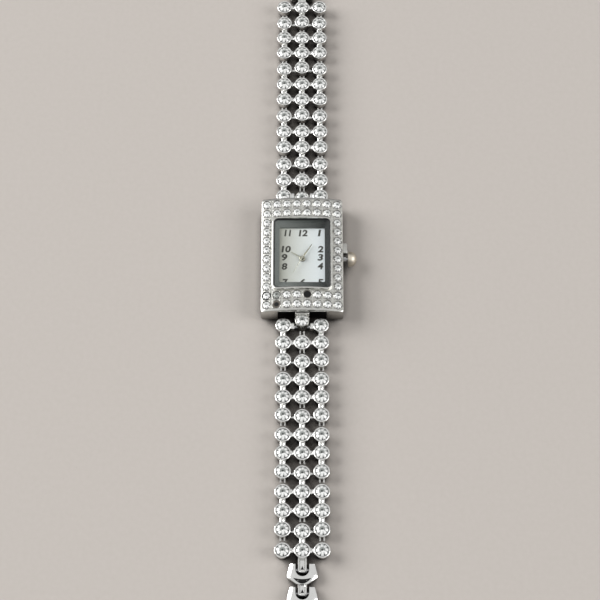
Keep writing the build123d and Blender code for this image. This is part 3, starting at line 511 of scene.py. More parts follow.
@dataclass
class Skin:
    """One piece's mesh, grown out of grids of points in millimetres of the shared frame."""

    points: list[np.ndarray] = field(default_factory=list)
    uvs: list[np.ndarray] = field(default_factory=list)
    faces: list[tuple[int, ...]] = field(default_factory=list)
    slots: list[int] = field(default_factory=list)
    flat: list[bool] = field(default_factory=list)
    count: int = 0

    def _keep(self, points: np.ndarray, uvs: np.ndarray | None) -> int:
        """Stores points and their UVs.

        Args:
            points: places as an array whose last axis is x, y and z.
            uvs: one UV for each point, or None for zeros.
        Returns:
            The index of the first point.
        """
        start = self.count
        rows = points.reshape(-1, 3)
        self.points.append(rows)
        self.uvs.append(np.zeros((len(rows), 2)) if uvs is None else uvs.reshape(-1, 2))
        self.count += len(rows)
        return start

    def grid(self, nodes: np.ndarray, around: bool = True, closed: bool = False, caps: bool = False,
             slot: int = 0, flat: bool = False) -> None:
        """Joins a grid of points, rows by columns, with four-sided faces.

        Args:
            nodes: points as an array of rows, columns and 3.
            around: the last column meets the first.
            closed: the last row meets the first.
            caps: the first and last rows are closed by a face each.
            slot: index of the finish.
            flat: faces keep their own flat shading.
        """
        rows, columns = nodes.shape[:2]
        index = np.arange(rows * columns).reshape(rows, columns) + self._keep(nodes, None)
        lower = index if closed else index[:-1]
        upper = np.roll(index, -1, axis=0) if closed else index[1:]
        if around:
            quads = np.stack([lower, np.roll(lower, -1, 1), np.roll(upper, -1, 1), upper], axis=-1)
        else:
            quads = np.stack([lower[:, :-1], lower[:, 1:], upper[:, 1:], upper[:, :-1]], axis=-1)
        new = [tuple(quad) for quad in quads.reshape(-1, 4).tolist()]
        if caps:
            new += [tuple(index[0][::-1].tolist()), tuple(index[-1].tolist())]
        self.shapes(new, slot, flat)

    def shapes(self, new: list[tuple[int, ...]], slot: int, flat: bool) -> None:
        """Stores faces with one finish and shading.

        Args:
            new: faces as indices of points.
            slot: index of the finish.
            flat: faces keep their own flat shading.
        """
        self.faces += new
        self.slots += [slot] * len(new)
        self.flat += [flat] * len(new)

    def solid(self, points: np.ndarray, uvs: np.ndarray, faces: list[tuple[int, ...]], slot: int = 0) -> None:
        """Adds one small flat-faced solid.

        Args:
            points: its corners.
            uvs: one UV for each corner.
            faces: its faces as indices of the corners.
            slot: index of the finish.
        """
        start = self._keep(points, uvs)
        self.shapes([tuple(i + start for i in face) for face in faces], slot, True)

    def build(self, name: str, body: str, finishes: tuple[Finish, ...], record_slot: str,
              replaces: tuple[str, ...] = (), sharp: float = 32.0) -> bpy.types.Object:
        """Turns the grown points to a mesh in metres, merges seams and poles, and lets it ride.

        Args:
            name: the piece's name.
            body: the body that it rides on.
            finishes: its finishes, in slot order.
            record_slot: the record's material slot; not used.
            replaces: nodes that it stands for.
            sharp: edges bent by more than this many degrees stay crisp.
        Returns:
            The piece.
        """
        mesh = bpy.data.meshes.new(name)
        mesh.from_pydata((np.concatenate(self.points) * MM).tolist(), [], self.faces)
        mesh.polygons.foreach_set("material_index", self.slots)
        mesh.polygons.foreach_set("use_smooth", [not flat for flat in self.flat])
        layer = mesh.uv_layers.new(name="UVMap")
        corners = np.empty(len(mesh.loops), dtype=int)
        mesh.loops.foreach_get("vertex_index", corners)
        layer.data.foreach_set("uv", np.concatenate(self.uvs)[corners].ravel())
        work = bmesh.new()
        work.from_mesh(mesh)
        bmesh.ops.remove_doubles(work, verts=work.verts, dist=1e-7)
        bmesh.ops.recalc_face_normals(work, faces=work.faces)
        work.to_mesh(mesh)
        work.free()
        mesh.set_sharp_from_angle(angle=radians(sharp))
        for finish in finishes:
            mesh.materials.append(finish.material())
        piece = bpy.data.objects.new(name, mesh)
        bpy.context.scene.collection.objects.link(piece)
        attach(piece, body)
        if replaces:
            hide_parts(*replaces)
        LOG.info("piece %s rides on %s, %d faces", name, body, len(mesh.polygons))
        return piece


def revolve(profile: list[tuple[float, float]], segments: int) -> np.ndarray:
    """Turns a profile about Z: x = r cos t, y = r sin t, z = h, for t round the circle.

    Args:
        profile: pairs of radius and height.
        segments: points round the circle.
    Returns:
        A grid of rows along the profile and columns round it.
    """
    rows = np.array(profile, dtype=float)
    turns = np.linspace(0, 2 * pi, segments, endpoint=False)
    radius = rows[:, :1]
    height = np.repeat(rows[:, 1:], segments, 1)
    return np.stack([radius * np.cos(turns), radius * np.sin(turns), height], axis=-1)


def lay_along_x(nodes: np.ndarray) -> np.ndarray:
    """Turns a grid about Z into one about X: (x, y, z) goes to (z, x, y)."""
    return nodes[..., (2, 0, 1)]


def soft_rectangle(width: float, length: float, radius: float, stops: tuple[float, ...],
                   arc: int = 6) -> np.ndarray:
    """An outline of four quarter circles joined by straight runs that are cut at the stops.

    Point k of one outline matches point k of any other with the same stops: a corner point is
    corner + radius (cos t, sin t), and a run point lies the stop's share of the way between corners.

    Args:
        width: size along X.
        length: size along Y.
        radius: corner radius.
        stops: shares along every run, from 0 to 1.
        arc: steps of each quarter circle.
    Returns:
        Points as an array of x and y.
    """
    corners = []
    for sign_x, sign_y, start in ((1, 1, 0), (-1, 1, 90), (-1, -1, 180), (1, -1, 270)):
        turns = np.radians(start + np.linspace(0, 90, arc + 1))
        middle = np.array([sign_x * (width / 2 - radius), sign_y * (length / 2 - radius)])
        corners.append(middle + radius * np.stack([np.cos(turns), np.sin(turns)], axis=-1))
    share = np.array(stops)[:, None]
    runs = [a[-1] + (b[0] - a[-1]) * share for a, b in zip(corners, corners[1:] + corners[:1])]
    return np.concatenate([part for pair in zip(corners, runs) for part in pair])


def lift(outline: np.ndarray, height: float | np.ndarray) -> np.ndarray:
    """Gives an outline a height, one for all points or one each."""
    return np.column_stack([outline, np.broadcast_to(height, len(outline))])


def inset(outline: np.ndarray, distance: float) -> np.ndarray:
    """Moves a closed outline inwards: each corner goes along the mitre of its two edges.

    Args:
        outline: points in order, counter-clockwise.
        distance: how far the edges move inwards.
    Returns:
        The moved outline, with the same points.
    """
    ahead = np.roll(outline, -1, 0) - outline
    ahead /= np.linalg.norm(ahead, axis=1, keepdims=True)
    behind = np.roll(ahead, 1, 0)
    normal_a = np.stack([-ahead[:, 1], ahead[:, 0]], axis=-1)
    normal_b = np.stack([-behind[:, 1], behind[:, 0]], axis=-1)
    mitre = normal_a + normal_b
    mitre /= np.maximum((mitre * normal_a).sum(1, keepdims=True), 0.5)
    return outline + distance * mitre


def plate(outline: np.ndarray, bottom: float, top: float, bevel: float) -> np.ndarray:
    """Rings of a flat plate with a rounded top edge and a small bottom edge.

    The top edge follows a quarter circle: inset b(1 - cos a) at height top - b(1 - sin a).

    Args:
        outline: points in order, counter-clockwise.
        bottom: height of the underside.
        top: height of the upper side.
        bevel: radius of the top edge; the bottom edge is cut by 0.4 of it.
    Returns:
        A grid of one row for each ring, from the underside up.
    """
    rings = [lift(inset(outline, bevel * 0.4), bottom), lift(outline, bottom + bevel * 0.4)]
    for angle in np.linspace(0, pi / 2, 4):
        rings.append(lift(inset(outline, bevel * (1 - cos(angle))), top - bevel * (1 - sin(angle))))
    return np.array(rings)


def cut_stone(radius: float, table: float, rise: float, depth: float, turn: float) -> SolidParts:
    """A round brilliant with its girdle at z=0: table, stars, kites, girdle facets and pavilion.

    The kite through angle a lies in the plane z = rise - b (x cos a + y sin a - table), where b is
    rise over the crown's width.

    Args:
        radius: girdle radius.
        table: corner radius of the table.
        rise: height of the table.
        depth: depth of the point below the girdle.
        turn: angle of the first kite.
    Returns:
        Corners, their UVs (place over radius) and faces.
    """
    star = (table + radius) / 2
    slope = rise / (radius - table)
    star_height = rise - slope * (star * cos(pi / 8) - table)
    eighths = np.arange(8) * pi / 4
    sixteenths = np.arange(16) * pi / 8

    def ring(size: float, turns: np.ndarray, height: float) -> np.ndarray:
        """Points of one level of the stone."""
        return np.stack([size * np.cos(turns), size * np.sin(turns), np.full(len(turns), height)], axis=-1)

    points = np.concatenate([
        ring(table, eighths, rise), ring(star, eighths + pi / 8, star_height), ring(radius, sixteenths, 0.0),
        [[0.0, 0.0, -depth]],
    ])
    # corners 0 to 7 are on the table, 8 to 15 on the stars, 16 to 31 on the girdle, and 32 is the point
    faces: list[tuple[int, ...]] = [tuple(range(8))]
    for k in range(8):
        after, before = (k + 1) % 8, (k - 1) % 8
        faces.append((k, 8 + k, after))
        faces.append((k, 8 + before, 16 + 2 * k, 8 + k))
        faces.append((8 + k, 16 + 2 * k, 17 + 2 * k))
        faces.append((8 + k, 17 + 2 * k, 16 + (2 * k + 2) % 16))
    faces += [(16 + (k + 1) % 16, 16 + k, 32) for k in range(16)]
    uvs = points[:, :2] / radius
    turned = np.array([[cos(turn), sin(turn)], [-sin(turn), cos(turn)]])
    points[:, :2] = points[:, :2] @ turned
    return points, uvs, faces


def face_height(x: np.ndarray | float) -> np.ndarray | float:
    """Height of the case's curved face: crest - R + sqrt(R^2 - x^2)."""
    return FACE_CREST - FACE_RADIUS + np.sqrt(FACE_RADIUS**2 - np.square(x))


def on_face(nodes: np.ndarray, x: float, y: float) -> np.ndarray:
    """Stands a small shape on the curved face at (x, y), turned about Y by asin(x / R).

    Args:
        nodes: points of the shape about its own centre.
        x: place across the case.
        y: place along the case.
    Returns:
        The moved points.
    """
    lean = np.arcsin(x / FACE_RADIUS)
    turned = np.stack([
        nodes[..., 0] * cos(lean) + nodes[..., 2] * sin(lean), nodes[..., 1],
        nodes[..., 2] * cos(lean) - nodes[..., 0] * sin(lean),
    ], axis=-1)
    return turned + np.array([x, y, face_height(x)])


# Watch head


@dataclass
class CaseBody:
    """The cast case: walls, curved face, collar round the crystal, lugs and crown shoulder.

    The recess at each end, where the first cups turn, is given by its half width, depth and ceiling. A
    lug's stone and its reach are measured outwards from the case's end, and its root inwards.
    """

    width: float = CASE_WIDTH
    length: float = CASE_LENGTH
    corner: float = 0.7
    bottom: float = 0.8
    foot: float = 0.6
    cavity: tuple[float, float] = (16.0, 21.4)
    cavity_corner: float = 1.5
    ledge: float = 5.6
    opening: tuple[float, float] = OPENING
    opening_corner: float = OPENING_CORNER
    collar_wall: float = 0.55
    recess: tuple[float, float, float] = (6.2, 0.8, 5.97)
    lug_centre: float = 1.5
    lug_root: float = 1.0
    lug_half: float = 1.78
    lug_reach: float = 3.3
    lug_bottom: float = 1.1
    lug_top: float = 4.35
    lug_seat: float = 1.5
    lug_points: int = 64
    step_reach: float = 0.4
    step_heights: tuple[float, float] = (4.2, 5.6)
    shoulder_x: tuple[float, float] = (10.2, 11.6)
    shoulder_y: tuple[float, float] = (1.2, 4.1)
    shoulder_heights: tuple[float, float] = (3.0, 4.5)

    def _stops(self) -> tuple[float, ...]:
        """Shares along every run: even ones, and a close pair at each side of the end recess.

        Returns:
            The shares in order.
        """
        run = self.width - 2 * self.corner
        even = [share for share in np.linspace(0, 1, 31)[1:-1]
                if abs(abs(share - 0.5) * run - self.recess[0]) > 0.2]
        sides = [0.5 + sign * (self.recess[0] + step) / run for sign in (-1, 1) for step in (0.0, 0.01)]
        return tuple(sorted(even + sides))

    def _outline(self, step: float, sunk: bool) -> np.ndarray:
        """The case's outline at one level.

        Args:
            step: how far it is moved inwards.
            sunk: whether it follows the end recesses.
        Returns:
            Points as an array of x and y.
        """
        size = (self.width - 2 * step, self.length - 2 * step)
        line = soft_rectangle(*size, self.corner, self._stops())
        if sunk:
            inside = np.abs(line[:, 0]) < self.recess[0] + 0.002
            inside &= np.abs(line[:, 1]) > self.length / 2 - 1
            line[inside, 1] = np.sign(line[inside, 1]) * (self.length / 2 - self.recess[1])
        return line

    def _frame(self, grow: float, corner: float) -> np.ndarray:
        """An outline round the dial opening, grown outwards."""
        return soft_rectangle(self.opening[0] + 2 * grow, self.opening[1] + 2 * grow, corner, self._stops())

    def _walls(self, skin: Skin) -> None:
        """Adds walls, face and collar as one closed loop of rings.

        Args:
            skin: the mesh that it is added to.
        """
        wall = self.collar_wall
        outer = self._outline(0.0, False)
        cavity = soft_rectangle(*self.cavity, self.cavity_corner, self._stops())
        under = np.minimum(self.recess[2], face_height(outer[:, 0]) - 0.25)
        rings = [
            lift(cavity, self.ledge), lift(cavity, self.bottom),
            lift(self._outline(self.foot, True), self.bottom),
            lift(self._outline(0.0, True), self.bottom + self.foot), lift(self._outline(0.0, True), under),
            lift(outer, under),
        ]
        # the rounded edge of the face, as inset and drop
        edge = ((0.0, 0.2), (0.04, 0.1), (0.1, 0.04), (0.2, 0.0))
        for step, drop in edge:
            line = self._outline(step, False)
            rings.append(lift(line, face_height(line[:, 0]) - drop))
        # the face, from its edge to the collar
        start = self._outline(edge[-1][0], False)
        end = self._frame(wall, self.opening_corner + wall)
        for share in np.linspace(0, 1, 7)[1:]:
            line = start + (end - start) * share
            rings.append(lift(line, face_height(line[:, 0])))
        # the collar, as distance from the opening and rise over the face
        for grow, rise in ((wall, 0.68), (wall - 0.06, 0.8), (wall - 0.16, 0.85), (0.14, 0.85), (0.04, 0.8),
                           (0, 0.7)):
            line = self._frame(grow, self.opening_corner + grow)
            rings.append(lift(line, face_height(line[:, 0]) + rise))
        rings.append(lift(self._frame(0, self.opening_corner), self.ledge))
        skin.grid(np.array(rings), closed=True)
        # painted shade: the recess walls and their ceiling, behind the first cups, are dark
        hidden = np.abs(outer[:, 0]) < self.recess[0]
        hidden &= np.abs(outer[:, 1]) > self.length / 2 - 0.1
        hidden &= np.roll(hidden, -1)
        for row in (2, 3, 4):
            for column in np.flatnonzero(hidden):
                skin.slots[row * len(outer) + column] = 1

    def _rays(self, turns: np.ndarray) -> np.ndarray:
        """Distance from the lug stone's centre to the U-shaped outline, along each ray.

        A ray meets the flat back, a straight side at the half width, or the nose, a half circle whose
        centre lies close to the stone's.

        Args:
            turns: angles of the rays.
        Returns:
            The distances.
        """
        back = -self.lug_centre - self.lug_root
        nose = self.lug_reach - self.lug_half - self.lug_centre
        across, along = np.abs(np.cos(turns)), np.sin(turns)
        to_side = self.lug_half / np.maximum(across, 1e-9)
        to_back = back / np.minimum(along, -1e-9)
        to_nose = along * nose + np.sqrt(np.maximum(self.lug_half**2 - (across * nose) ** 2, 0))
        ahead = np.where(along * to_side < nose, np.minimum(to_side, to_nose), to_nose)
        return np.where(along < 0, np.minimum(to_side, to_back), ahead)

    def _lug(self, skin: Skin, end: int) -> None:
        """Adds one lug: a U-shaped block whose top opens into a round stone seat.

        The outline is where rays from the seat's centre meet the U, so it matches the round rim.

        Args:
            skin: the mesh that it is added to.
            end: 1 for the lug at 12 o'clock and -1 for the one at 6 o'clock.
        """
        turns = np.linspace(0, 2 * pi, self.lug_points, endpoint=False)
        reach = self._rays(turns)

        def ring(size: np.ndarray | float, height: float) -> np.ndarray:
            """Points at a distance along each ray."""
            y = end * (self.length / 2 + self.lug_centre + size * np.sin(turns))
            return np.column_stack([size * np.cos(turns), y, np.full(len(turns), height)])

        top, low, seat = self.lug_top, self.lug_bottom, self.lug_seat
        body = [ring(reach - 0.15, low), ring(reach, low + 0.15), ring(reach, top - 0.1),
                ring(reach - 0.03, top - 0.03), ring(reach - 0.1, top), ring(seat + 0.06, top + 0.02),
                ring(seat, top - 0.03)]
        skin.grid(np.array(body))
        # painted shade: the bowl under the lug's stone is dark
        bowl = [ring(seat, top - 0.03), ring(seat - 0.08, top - 0.3), ring(0.01, top - 0.9)]
        skin.grid(np.array(bowl), slot=1)
        skin.grid(np.array([ring(reach - 0.15, low), ring(0.01, low)]))
        # step where the lug meets the end wall
        half, root, ahead = self.lug_half, self.lug_root, self.step_reach
        step = np.array([(-half, -root), (half, -root), (half, ahead), (-half, ahead)])
        step = step * (1, end) + (0, end * self.length / 2)
        skin.grid(plate(step if end > 0 else step[::-1], *self.step_heights, 0.12), caps=True)

    def build(self) -> None:
        """Builds the case in place of the plain solid."""
        skin = Skin()
        self._walls(skin)
        for end in (1, -1):
            self._lug(skin, end)
        (left, right), (low, high) = self.shoulder_x, self.shoulder_y
        shoulder = np.array([(left, low), (right, low), (right, high), (left, high)])
        skin.grid(plate(shoulder, *self.shoulder_heights, 0.14), caps=True)
        skin.build("case_shell", "head", (Finish.POLISHED_PLATE, Finish.SEAT_SHADE_AND_OXIDE), "polished_case",
                   ("case_body",))


@dataclass
class PaveField:
    """The stones on the case's face, each between four beads, and two seats that lost theirs.

    An empty seat is given by its column, its row and the radius of its bare pit. The worn seat's rim and
    the clouded stone are given by column and row.
    """

    pitch: tuple[float, float] = (2.59, 2.6)
    columns: int = 8
    rows: int = 12
    radius: float = 0.96
    table: float = 0.56
    rise: float = 0.32
    facets: int = 20
    bead_place: float = 1.26
    groove_row: int = 5
    groove_run: int = 11
    empty: tuple[tuple[int, int, float], ...] = ((4, 1, 0.9), (1, 0, 0.6))
    worn: tuple[int, int] = (0, 1)
    clouded: tuple[int, int] = (1, 1)
    lug_radius: float = 1.48
    lug_table: float = 0.9
    lug_rise: float = 0.36
    lug_point: float = 0.6
    lug_height: float = 4.27

    def _seats(self) -> list[tuple[int, int, float, float]]:
        """Two rows of seats at each end and one along each side.

        Returns:
            Column, row, x and y of every seat.
        """
        seats = []
        for column in range(self.columns):
            for row in range(self.rows):
                if column in (0, self.columns - 1) or row in (0, 1, self.rows - 2, self.rows - 1):
                    x = (column - (self.columns - 1) / 2) * self.pitch[0]
                    y = (row - (self.rows - 1) / 2) * self.pitch[1]
                    seats.append((column, row, x, y))
        return seats

    def build(self) -> None:
        """Builds the stones in place of the plain ones, and the metal round them."""
        spread = np.random.default_rng(7)
        gems, metal = Skin(), Skin()
        rim = revolve([(1.04, -0.06), (1.05, 0.06), (1.09, 0.1), (1.14, 0.07), (1.17, 0.02), (1.2, 0.015),
                       (1.27, 0.015), (1.29, -0.06)], self.facets)
        floor = revolve([(1.08, -0.05), (1.08, 0.012), (0.0, 0.012)], self.facets)
        bead = revolve([(0.24, -0.06), (0.24, 0.1), (0.16, 0.22), (0.0, 0.26)], 8)
        # a lost stone leaves a collar of cement round a bare pit, darkened with painted shade
        pits = {(column, row): size for column, row, size in self.empty}
        for column, row, x, y in self._seats():
            first = len(metal.faces)
            metal.grid(on_face(rim, x, y), slot=int((column, row) == self.worn))
            # painted shadow: the groove outside the rim is dark over part of its way round
            start = int(spread.integers(0, self.facets))
            for place in range(self.groove_run):
                metal.slots[first + self.groove_row * self.facets + (start + place) % self.facets] = 1
            for turn in np.radians((45, 135, 225, 315)):
                metal.grid(on_face(bead, x + self.bead_place * cos(turn), y + self.bead_place * sin(turn)))
            if (column, row) in pits:
                size = pits[column, row]
                cement = revolve([(1.06, 0.05), (1.0, 0.014), (size + 0.04, 0.014), (size, 0.02)],
                                 self.facets)
                pit = revolve([(size + 0.02, 0.018), (size - 0.05, 0.024), (0.0, 0.024)], self.facets)
                metal.grid(on_face(cement, x, y), slot=2)
                metal.grid(on_face(pit, x, y), slot=1)
                continue
            # painted shade: the floor of the seat under the stone is dark
            metal.grid(on_face(floor, x, y), slot=1)
            turn = spread.uniform(-0.35, 0.35)
            points, uvs, faces = cut_stone(self.radius, self.table, self.rise, 0.0, turn)
            tilt = spread.uniform(-0.05, 0.05, 2)
            points[:, 2] += points[:, 0] * tilt[0] + points[:, 1] * tilt[1] + 0.02
            gems.solid(on_face(points, x, y), uvs, faces, slot=int((column, row) == self.clouded))
        gems.build("face_stones", "head", (Finish.SMALL_CRYSTAL, Finish.CLOUDED_CRYSTAL), "clear_stone",
                   ("pave_stones",))
        metal.build("face_seats", "head", (Finish.POLISHED_PLATE, Finish.SEAT_SHADE_AND_OXIDE, Finish.SEAT_CEMENT),
                    "polished_case")
        lug = Skin()
        for end in (1, -1):
            turn = spread.uniform(-0.2, 0.2)
            points, uvs, faces = cut_stone(self.lug_radius, self.lug_table, self.lug_rise, self.lug_point,
                                           turn)
            place = (0, end * (CASE_LENGTH / 2 + CaseBody.lug_centre), self.lug_height)
            lug.solid(points + np.array(place), uvs, faces)
        lug.build("lug_gems", "head", (Finish.CUT_CRYSTAL,), "clear_stone", ("lug_stones",))


@dataclass(frozen=True)
class Hand:
    """One hand: its blade, its hub and where it points, in degrees clockwise from 12 o'clock."""

    name: str
    body: str
    node: str
    angle: float
    length: float
    tail: float
    width: float
    tip: float
    bottom: float
    thick: float
    hub: float
    cap: float
    finish: Finish = Finish.HAND_METAL

    def build(self, arbor: tuple[float, float]) -> None:
        """Builds the hand: a ridged, tapered blade and a round hub.

        Args:
            arbor: the point that it turns about, as x and y.
        """
        skin = Skin()
        along = np.array([-self.tail, -self.tail * 0.5, 0.0, self.length * 0.5, self.length])
        broad, narrow = self.width, self.tip
        half = np.array([narrow, (narrow + broad) / 2, broad, (narrow + broad) / 2, narrow]) / 2
        section = np.array([(-1, 0), (-1, 0.35), (0, 1), (1, 0.35), (1, 0)])
        rows = np.stack([
            half[:, None] * section[None, :, 0], np.repeat(along[:, None], len(section), 1),
            self.bottom + self.thick * np.repeat(section[None, :, 1], len(along), 0),
        ], axis=-1)
        turn = radians(-self.angle)
        turned = np.stack([
            rows[..., 0] * cos(turn) - rows[..., 1] * sin(turn),
            rows[..., 0] * sin(turn) + rows[..., 1] * cos(turn), rows[..., 2],
        ], axis=-1)
        centre = np.array([*arbor, 0.0])
        skin.grid(turned + centre, caps=True)
        hub, low, high = self.hub, self.bottom - 0.02, self.bottom + self.cap
        profile = [(0, low), (hub, low), (hub, high - 0.04), (hub * 0.9, high), (0, high)]
        skin.grid(revolve(profile, 24) + centre)
        skin.build(self.name, self.body, (self.finish,), "hand_metal", (self.node,))


@dataclass
class DialWindow:
    """Crystal, its seal, the sloped ring, the printed dial and the hands.

    The crystal's steps are distances from its edge and heights. The ring's levels run from its rim down
    to its sill. A figure is given with the place of its centre and its width.
    """

    opening: tuple[float, float] = OPENING
    window: tuple[float, float] = (11.6, 16.0)
    corner: float = OPENING_CORNER
    seal: float = 0.15
    seat: float = 6.8
    arch: float = 0.74
    glass_corner: float = 0.85
    dial_top: float = 5.1
    crystal_steps: tuple[tuple[float, float], ...] = ((0.03, 7.05), (0.75, 7.4), (1.42, 7.7), (1.55, 7.74))
    crystal_edge: float = 7.02
    seal_top: tuple[float, float] = (7.12, 7.15)
    seal_corner: float = 0.86
    sill: float = 0.4
    slope: tuple[float, float] = (11.9, 16.4)
    ring_edge: tuple[float, float] = (13.9, 19.0)
    ring_rim: tuple[float, float] = (14.1, 19.2)
    ring_levels: tuple[float, float, float, float] = (6.76, 6.66, 5.75, 5.6)
    figure_height: float = 1.72
    capital: float = 0.7
    slant: float = 0.12
    weight: float = 0.085
    spacing: float = 0.95
    film: float = 0.02
    figures: tuple[tuple[str, float, float, float], ...] = (
        ("12", 0.25, 6.65, 2.25), ("11", -3.7, 6.65, 1.75), ("1", 4.45, 6.65, 0.85), ("10", -4.1, 2.0, 2.4),
        ("2", 4.7, 2.0, 1.46), ("9", -4.5, -0.35, 1.46), ("3", 4.65, -0.35, 1.46), ("8", -4.5, -2.95, 1.46),
        ("4", 4.65, -2.85, 1.46), ("7", -4.3, -7.45, 1.46), ("6", 0.1, -7.45, 1.46), ("5", 4.6, -7.45, 1.46),
    )
    arbor: tuple[float, float] = (0.0, -0.75)
    hands: tuple[Hand, ...] = (
        Hand("hour_blade", "hours", "hour_hand", angle=-57.25, length=3.3, tail=0.9, width=0.46, tip=0.18,
             bottom=5.36, thick=0.14, hub=0.74, cap=0.16, finish=Finish.LIT_HAND_METAL),
        Hand("minute_blade", "minutes", "minute_hand", angle=33.0, length=4.6, tail=1.1, width=0.46, tip=0.16,
             bottom=5.66, thick=0.14, hub=0.56, cap=0.16),
        Hand("second_blade", "seconds", "second_hand", angle=208.0, length=5.0, tail=1.6, width=0.2, tip=0.1,
             bottom=5.94, thick=0.1, hub=0.38, cap=0.24, finish=Finish.LIT_HAND_METAL),
    )
    stops: tuple[float, ...] = tuple(np.linspace(0, 1, 17)[1:-1])

    @property
    def glass_size(self) -> tuple[float, float]:
        """Width and length of the crystal: the opening less the seal at both sides."""
        return self.opening[0] - 2 * self.seal, self.opening[1] - 2 * self.seal

    def _line(self, size: tuple[float, float], radius: float) -> np.ndarray:
        """A soft rectangle of the window."""
        return soft_rectangle(*size, radius, self.stops)

    def _crystal(self) -> None:
        """Builds the bevelled crystal: a straight edge, a sloped bevel and an arched top.

        The top keeps one height over the case's face, so it has the same arch.
        """
        skin = Skin()
        size = self.glass_size
        foot = self._line(size, self.glass_corner)
        rings = [lift(foot, self.seat), lift(foot, self.crystal_edge)]
        for step, height in self.crystal_steps:
            line = self._line((size[0] - 2 * step, size[1] - 2 * step), self.glass_corner - step * 0.3)
            rings.append(lift(line, np.minimum(height, face_height(line[:, 0]) + self.arch)))
        line = self._line((size[0] * 0.4, size[1] * 0.4), 0.3)
        rings.append(lift(line, face_height(line[:, 0]) + self.arch))
        skin.grid(np.array(rings), caps=True)
        skin.build("window_crystal", "head", (Finish.GLASS,), "crystal_glass", ("crystal",), sharp=14)

    def _frames(self) -> None:
        """Builds the seal and the sloped ring, whose lower side covers more of the dial."""
        skin = Skin()
        outer = self._line(self.opening, self.corner)
        inner = self._line(self.glass_size, self.seal_corner)
        skin.grid(np.array([
            lift(outer, self.seat), lift(outer, self.seal_top[0]), lift(inner, self.seal_top[1]),
            lift(inner, self.seat),
        ]), closed=True)
        skin.build("window_seal", "head", (Finish.SEAL,), "seal_rubber", ("crystal_gasket",))
        ring = Skin()
        sill, slope = self._line(self.window, 0.3), self._line(self.slope, 0.5)
        for line in (sill, slope):
            line[line[:, 1] < 0, 1] += self.sill
        edge = self._line(self.ring_edge, self.glass_corner)
        rim_level, edge_level, slope_level, sill_level = self.ring_levels
        ring.grid(np.array([
            lift(edge, edge_level), lift(slope, slope_level), lift(sill, sill_level),
            lift(sill, self.dial_top),
        ]))
        # the ring's rim, in the shade under the seal
        ring.grid(np.array([
            lift(outer, self.dial_top), lift(outer, self.seat - 0.02),
            lift(self._line(self.ring_rim, 0.9), rim_level), lift(edge, edge_level),
        ]), slot=1)
        ring.build("inner_ring", "head", (Finish.RING_PAINT, Finish.SEAL), "grey_ring", ("dial_ring",))

    def _figure(self, word: str, x: float, y: float, width: float) -> bpy.types.Mesh:
        """Makes one figure: it is drawn, scaled to its width and laid flat on the dial.

        Args:
            word: the figure's digits.
            x: place of its centre across the dial.
            y: place of its centre along the dial.
            width: width of the whole figure.
        Returns:
            Its mesh.
        """
        curve = bpy.data.curves.new("figure", type="FONT")
        curve.body = word
        curve.size = self.figure_height / self.capital * MM
        curve.shear = self.slant
        curve.offset = self.weight * MM
        curve.space_character = self.spacing
        curve.extrude = self.film / 2 * MM
        curve.resolution_u = 3
        holder = bpy.data.objects.new("figure", curve)
        mesh = bpy.data.meshes.new_from_object(holder)
        points = np.empty(len(mesh.vertices) * 3)
        mesh.vertices.foreach_get("co", points)
        points = points.reshape(-1, 3)
        points[:, 0] *= width * MM / np.ptp(points[:, 0])
        middle = (points.min(0) + points.max(0)) / 2
        points += np.array([x * MM, y * MM, (self.dial_top + 0.012) * MM]) - middle
        mesh.vertices.foreach_set("co", points.ravel())
        bpy.data.objects.remove(holder)
        return mesh

    def _print(self) -> None:
        """Builds the numbers: bold, slightly sloped figures, joined in one piece."""
        work = bmesh.new()
        for figure in self.figures:
            work.from_mesh(self._figure(*figure))
        joined = bpy.data.meshes.new("dial_figures")
        work.to_mesh(joined)
        work.free()
        joined.materials.clear()
        joined.materials.append(Finish.DIAL_INK.material())
        piece = bpy.data.objects.new("dial_figures", joined)
        bpy.context.scene.collection.objects.link(piece)
        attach(piece, "head")
        LOG.info("piece dial_figures rides on head, %d faces", len(joined.polygons))

    def build(self) -> None:
        """Builds everything in the window."""
        self._crystal()
        self._frames()
        self._print()
        for hand in self.hands:
            hand.build(self.arbor)


@dataclass
class Crown:
    """The setting crown: a smooth domed button on the stem."""

    start: float = 11.75
    radius: float = 1.93
    height: float = 3.3

    def build(self) -> None:
        """Builds the crown about X in place of the plain one, from its hollow back to its dome."""
        r = self.radius
        profile = [(0.0, 0.7), (1.1, 0.7), (1.1, 0.06), (1.16, 0.0), (r - 0.12, 0.0), (r - 0.02, 0.08),
                   (r, 0.25), (r, 0.62), (r - 0.05, 0.95), (r - 0.17, 1.28), (r - 0.37, 1.6),
                   (r - 0.66, 1.88), (r - 1.04, 2.09), (r - 1.46, 2.21), (0.0, 2.25)]
        skin = Skin()
        skin.grid(lay_along_x(revolve(profile, 40)) + np.array([self.start, 0.0, self.height]))
        skin.build("crown_button", "crown", (Finish.MATTE_CROWN,), "crown_metal", ("crown",))


# Bracelet


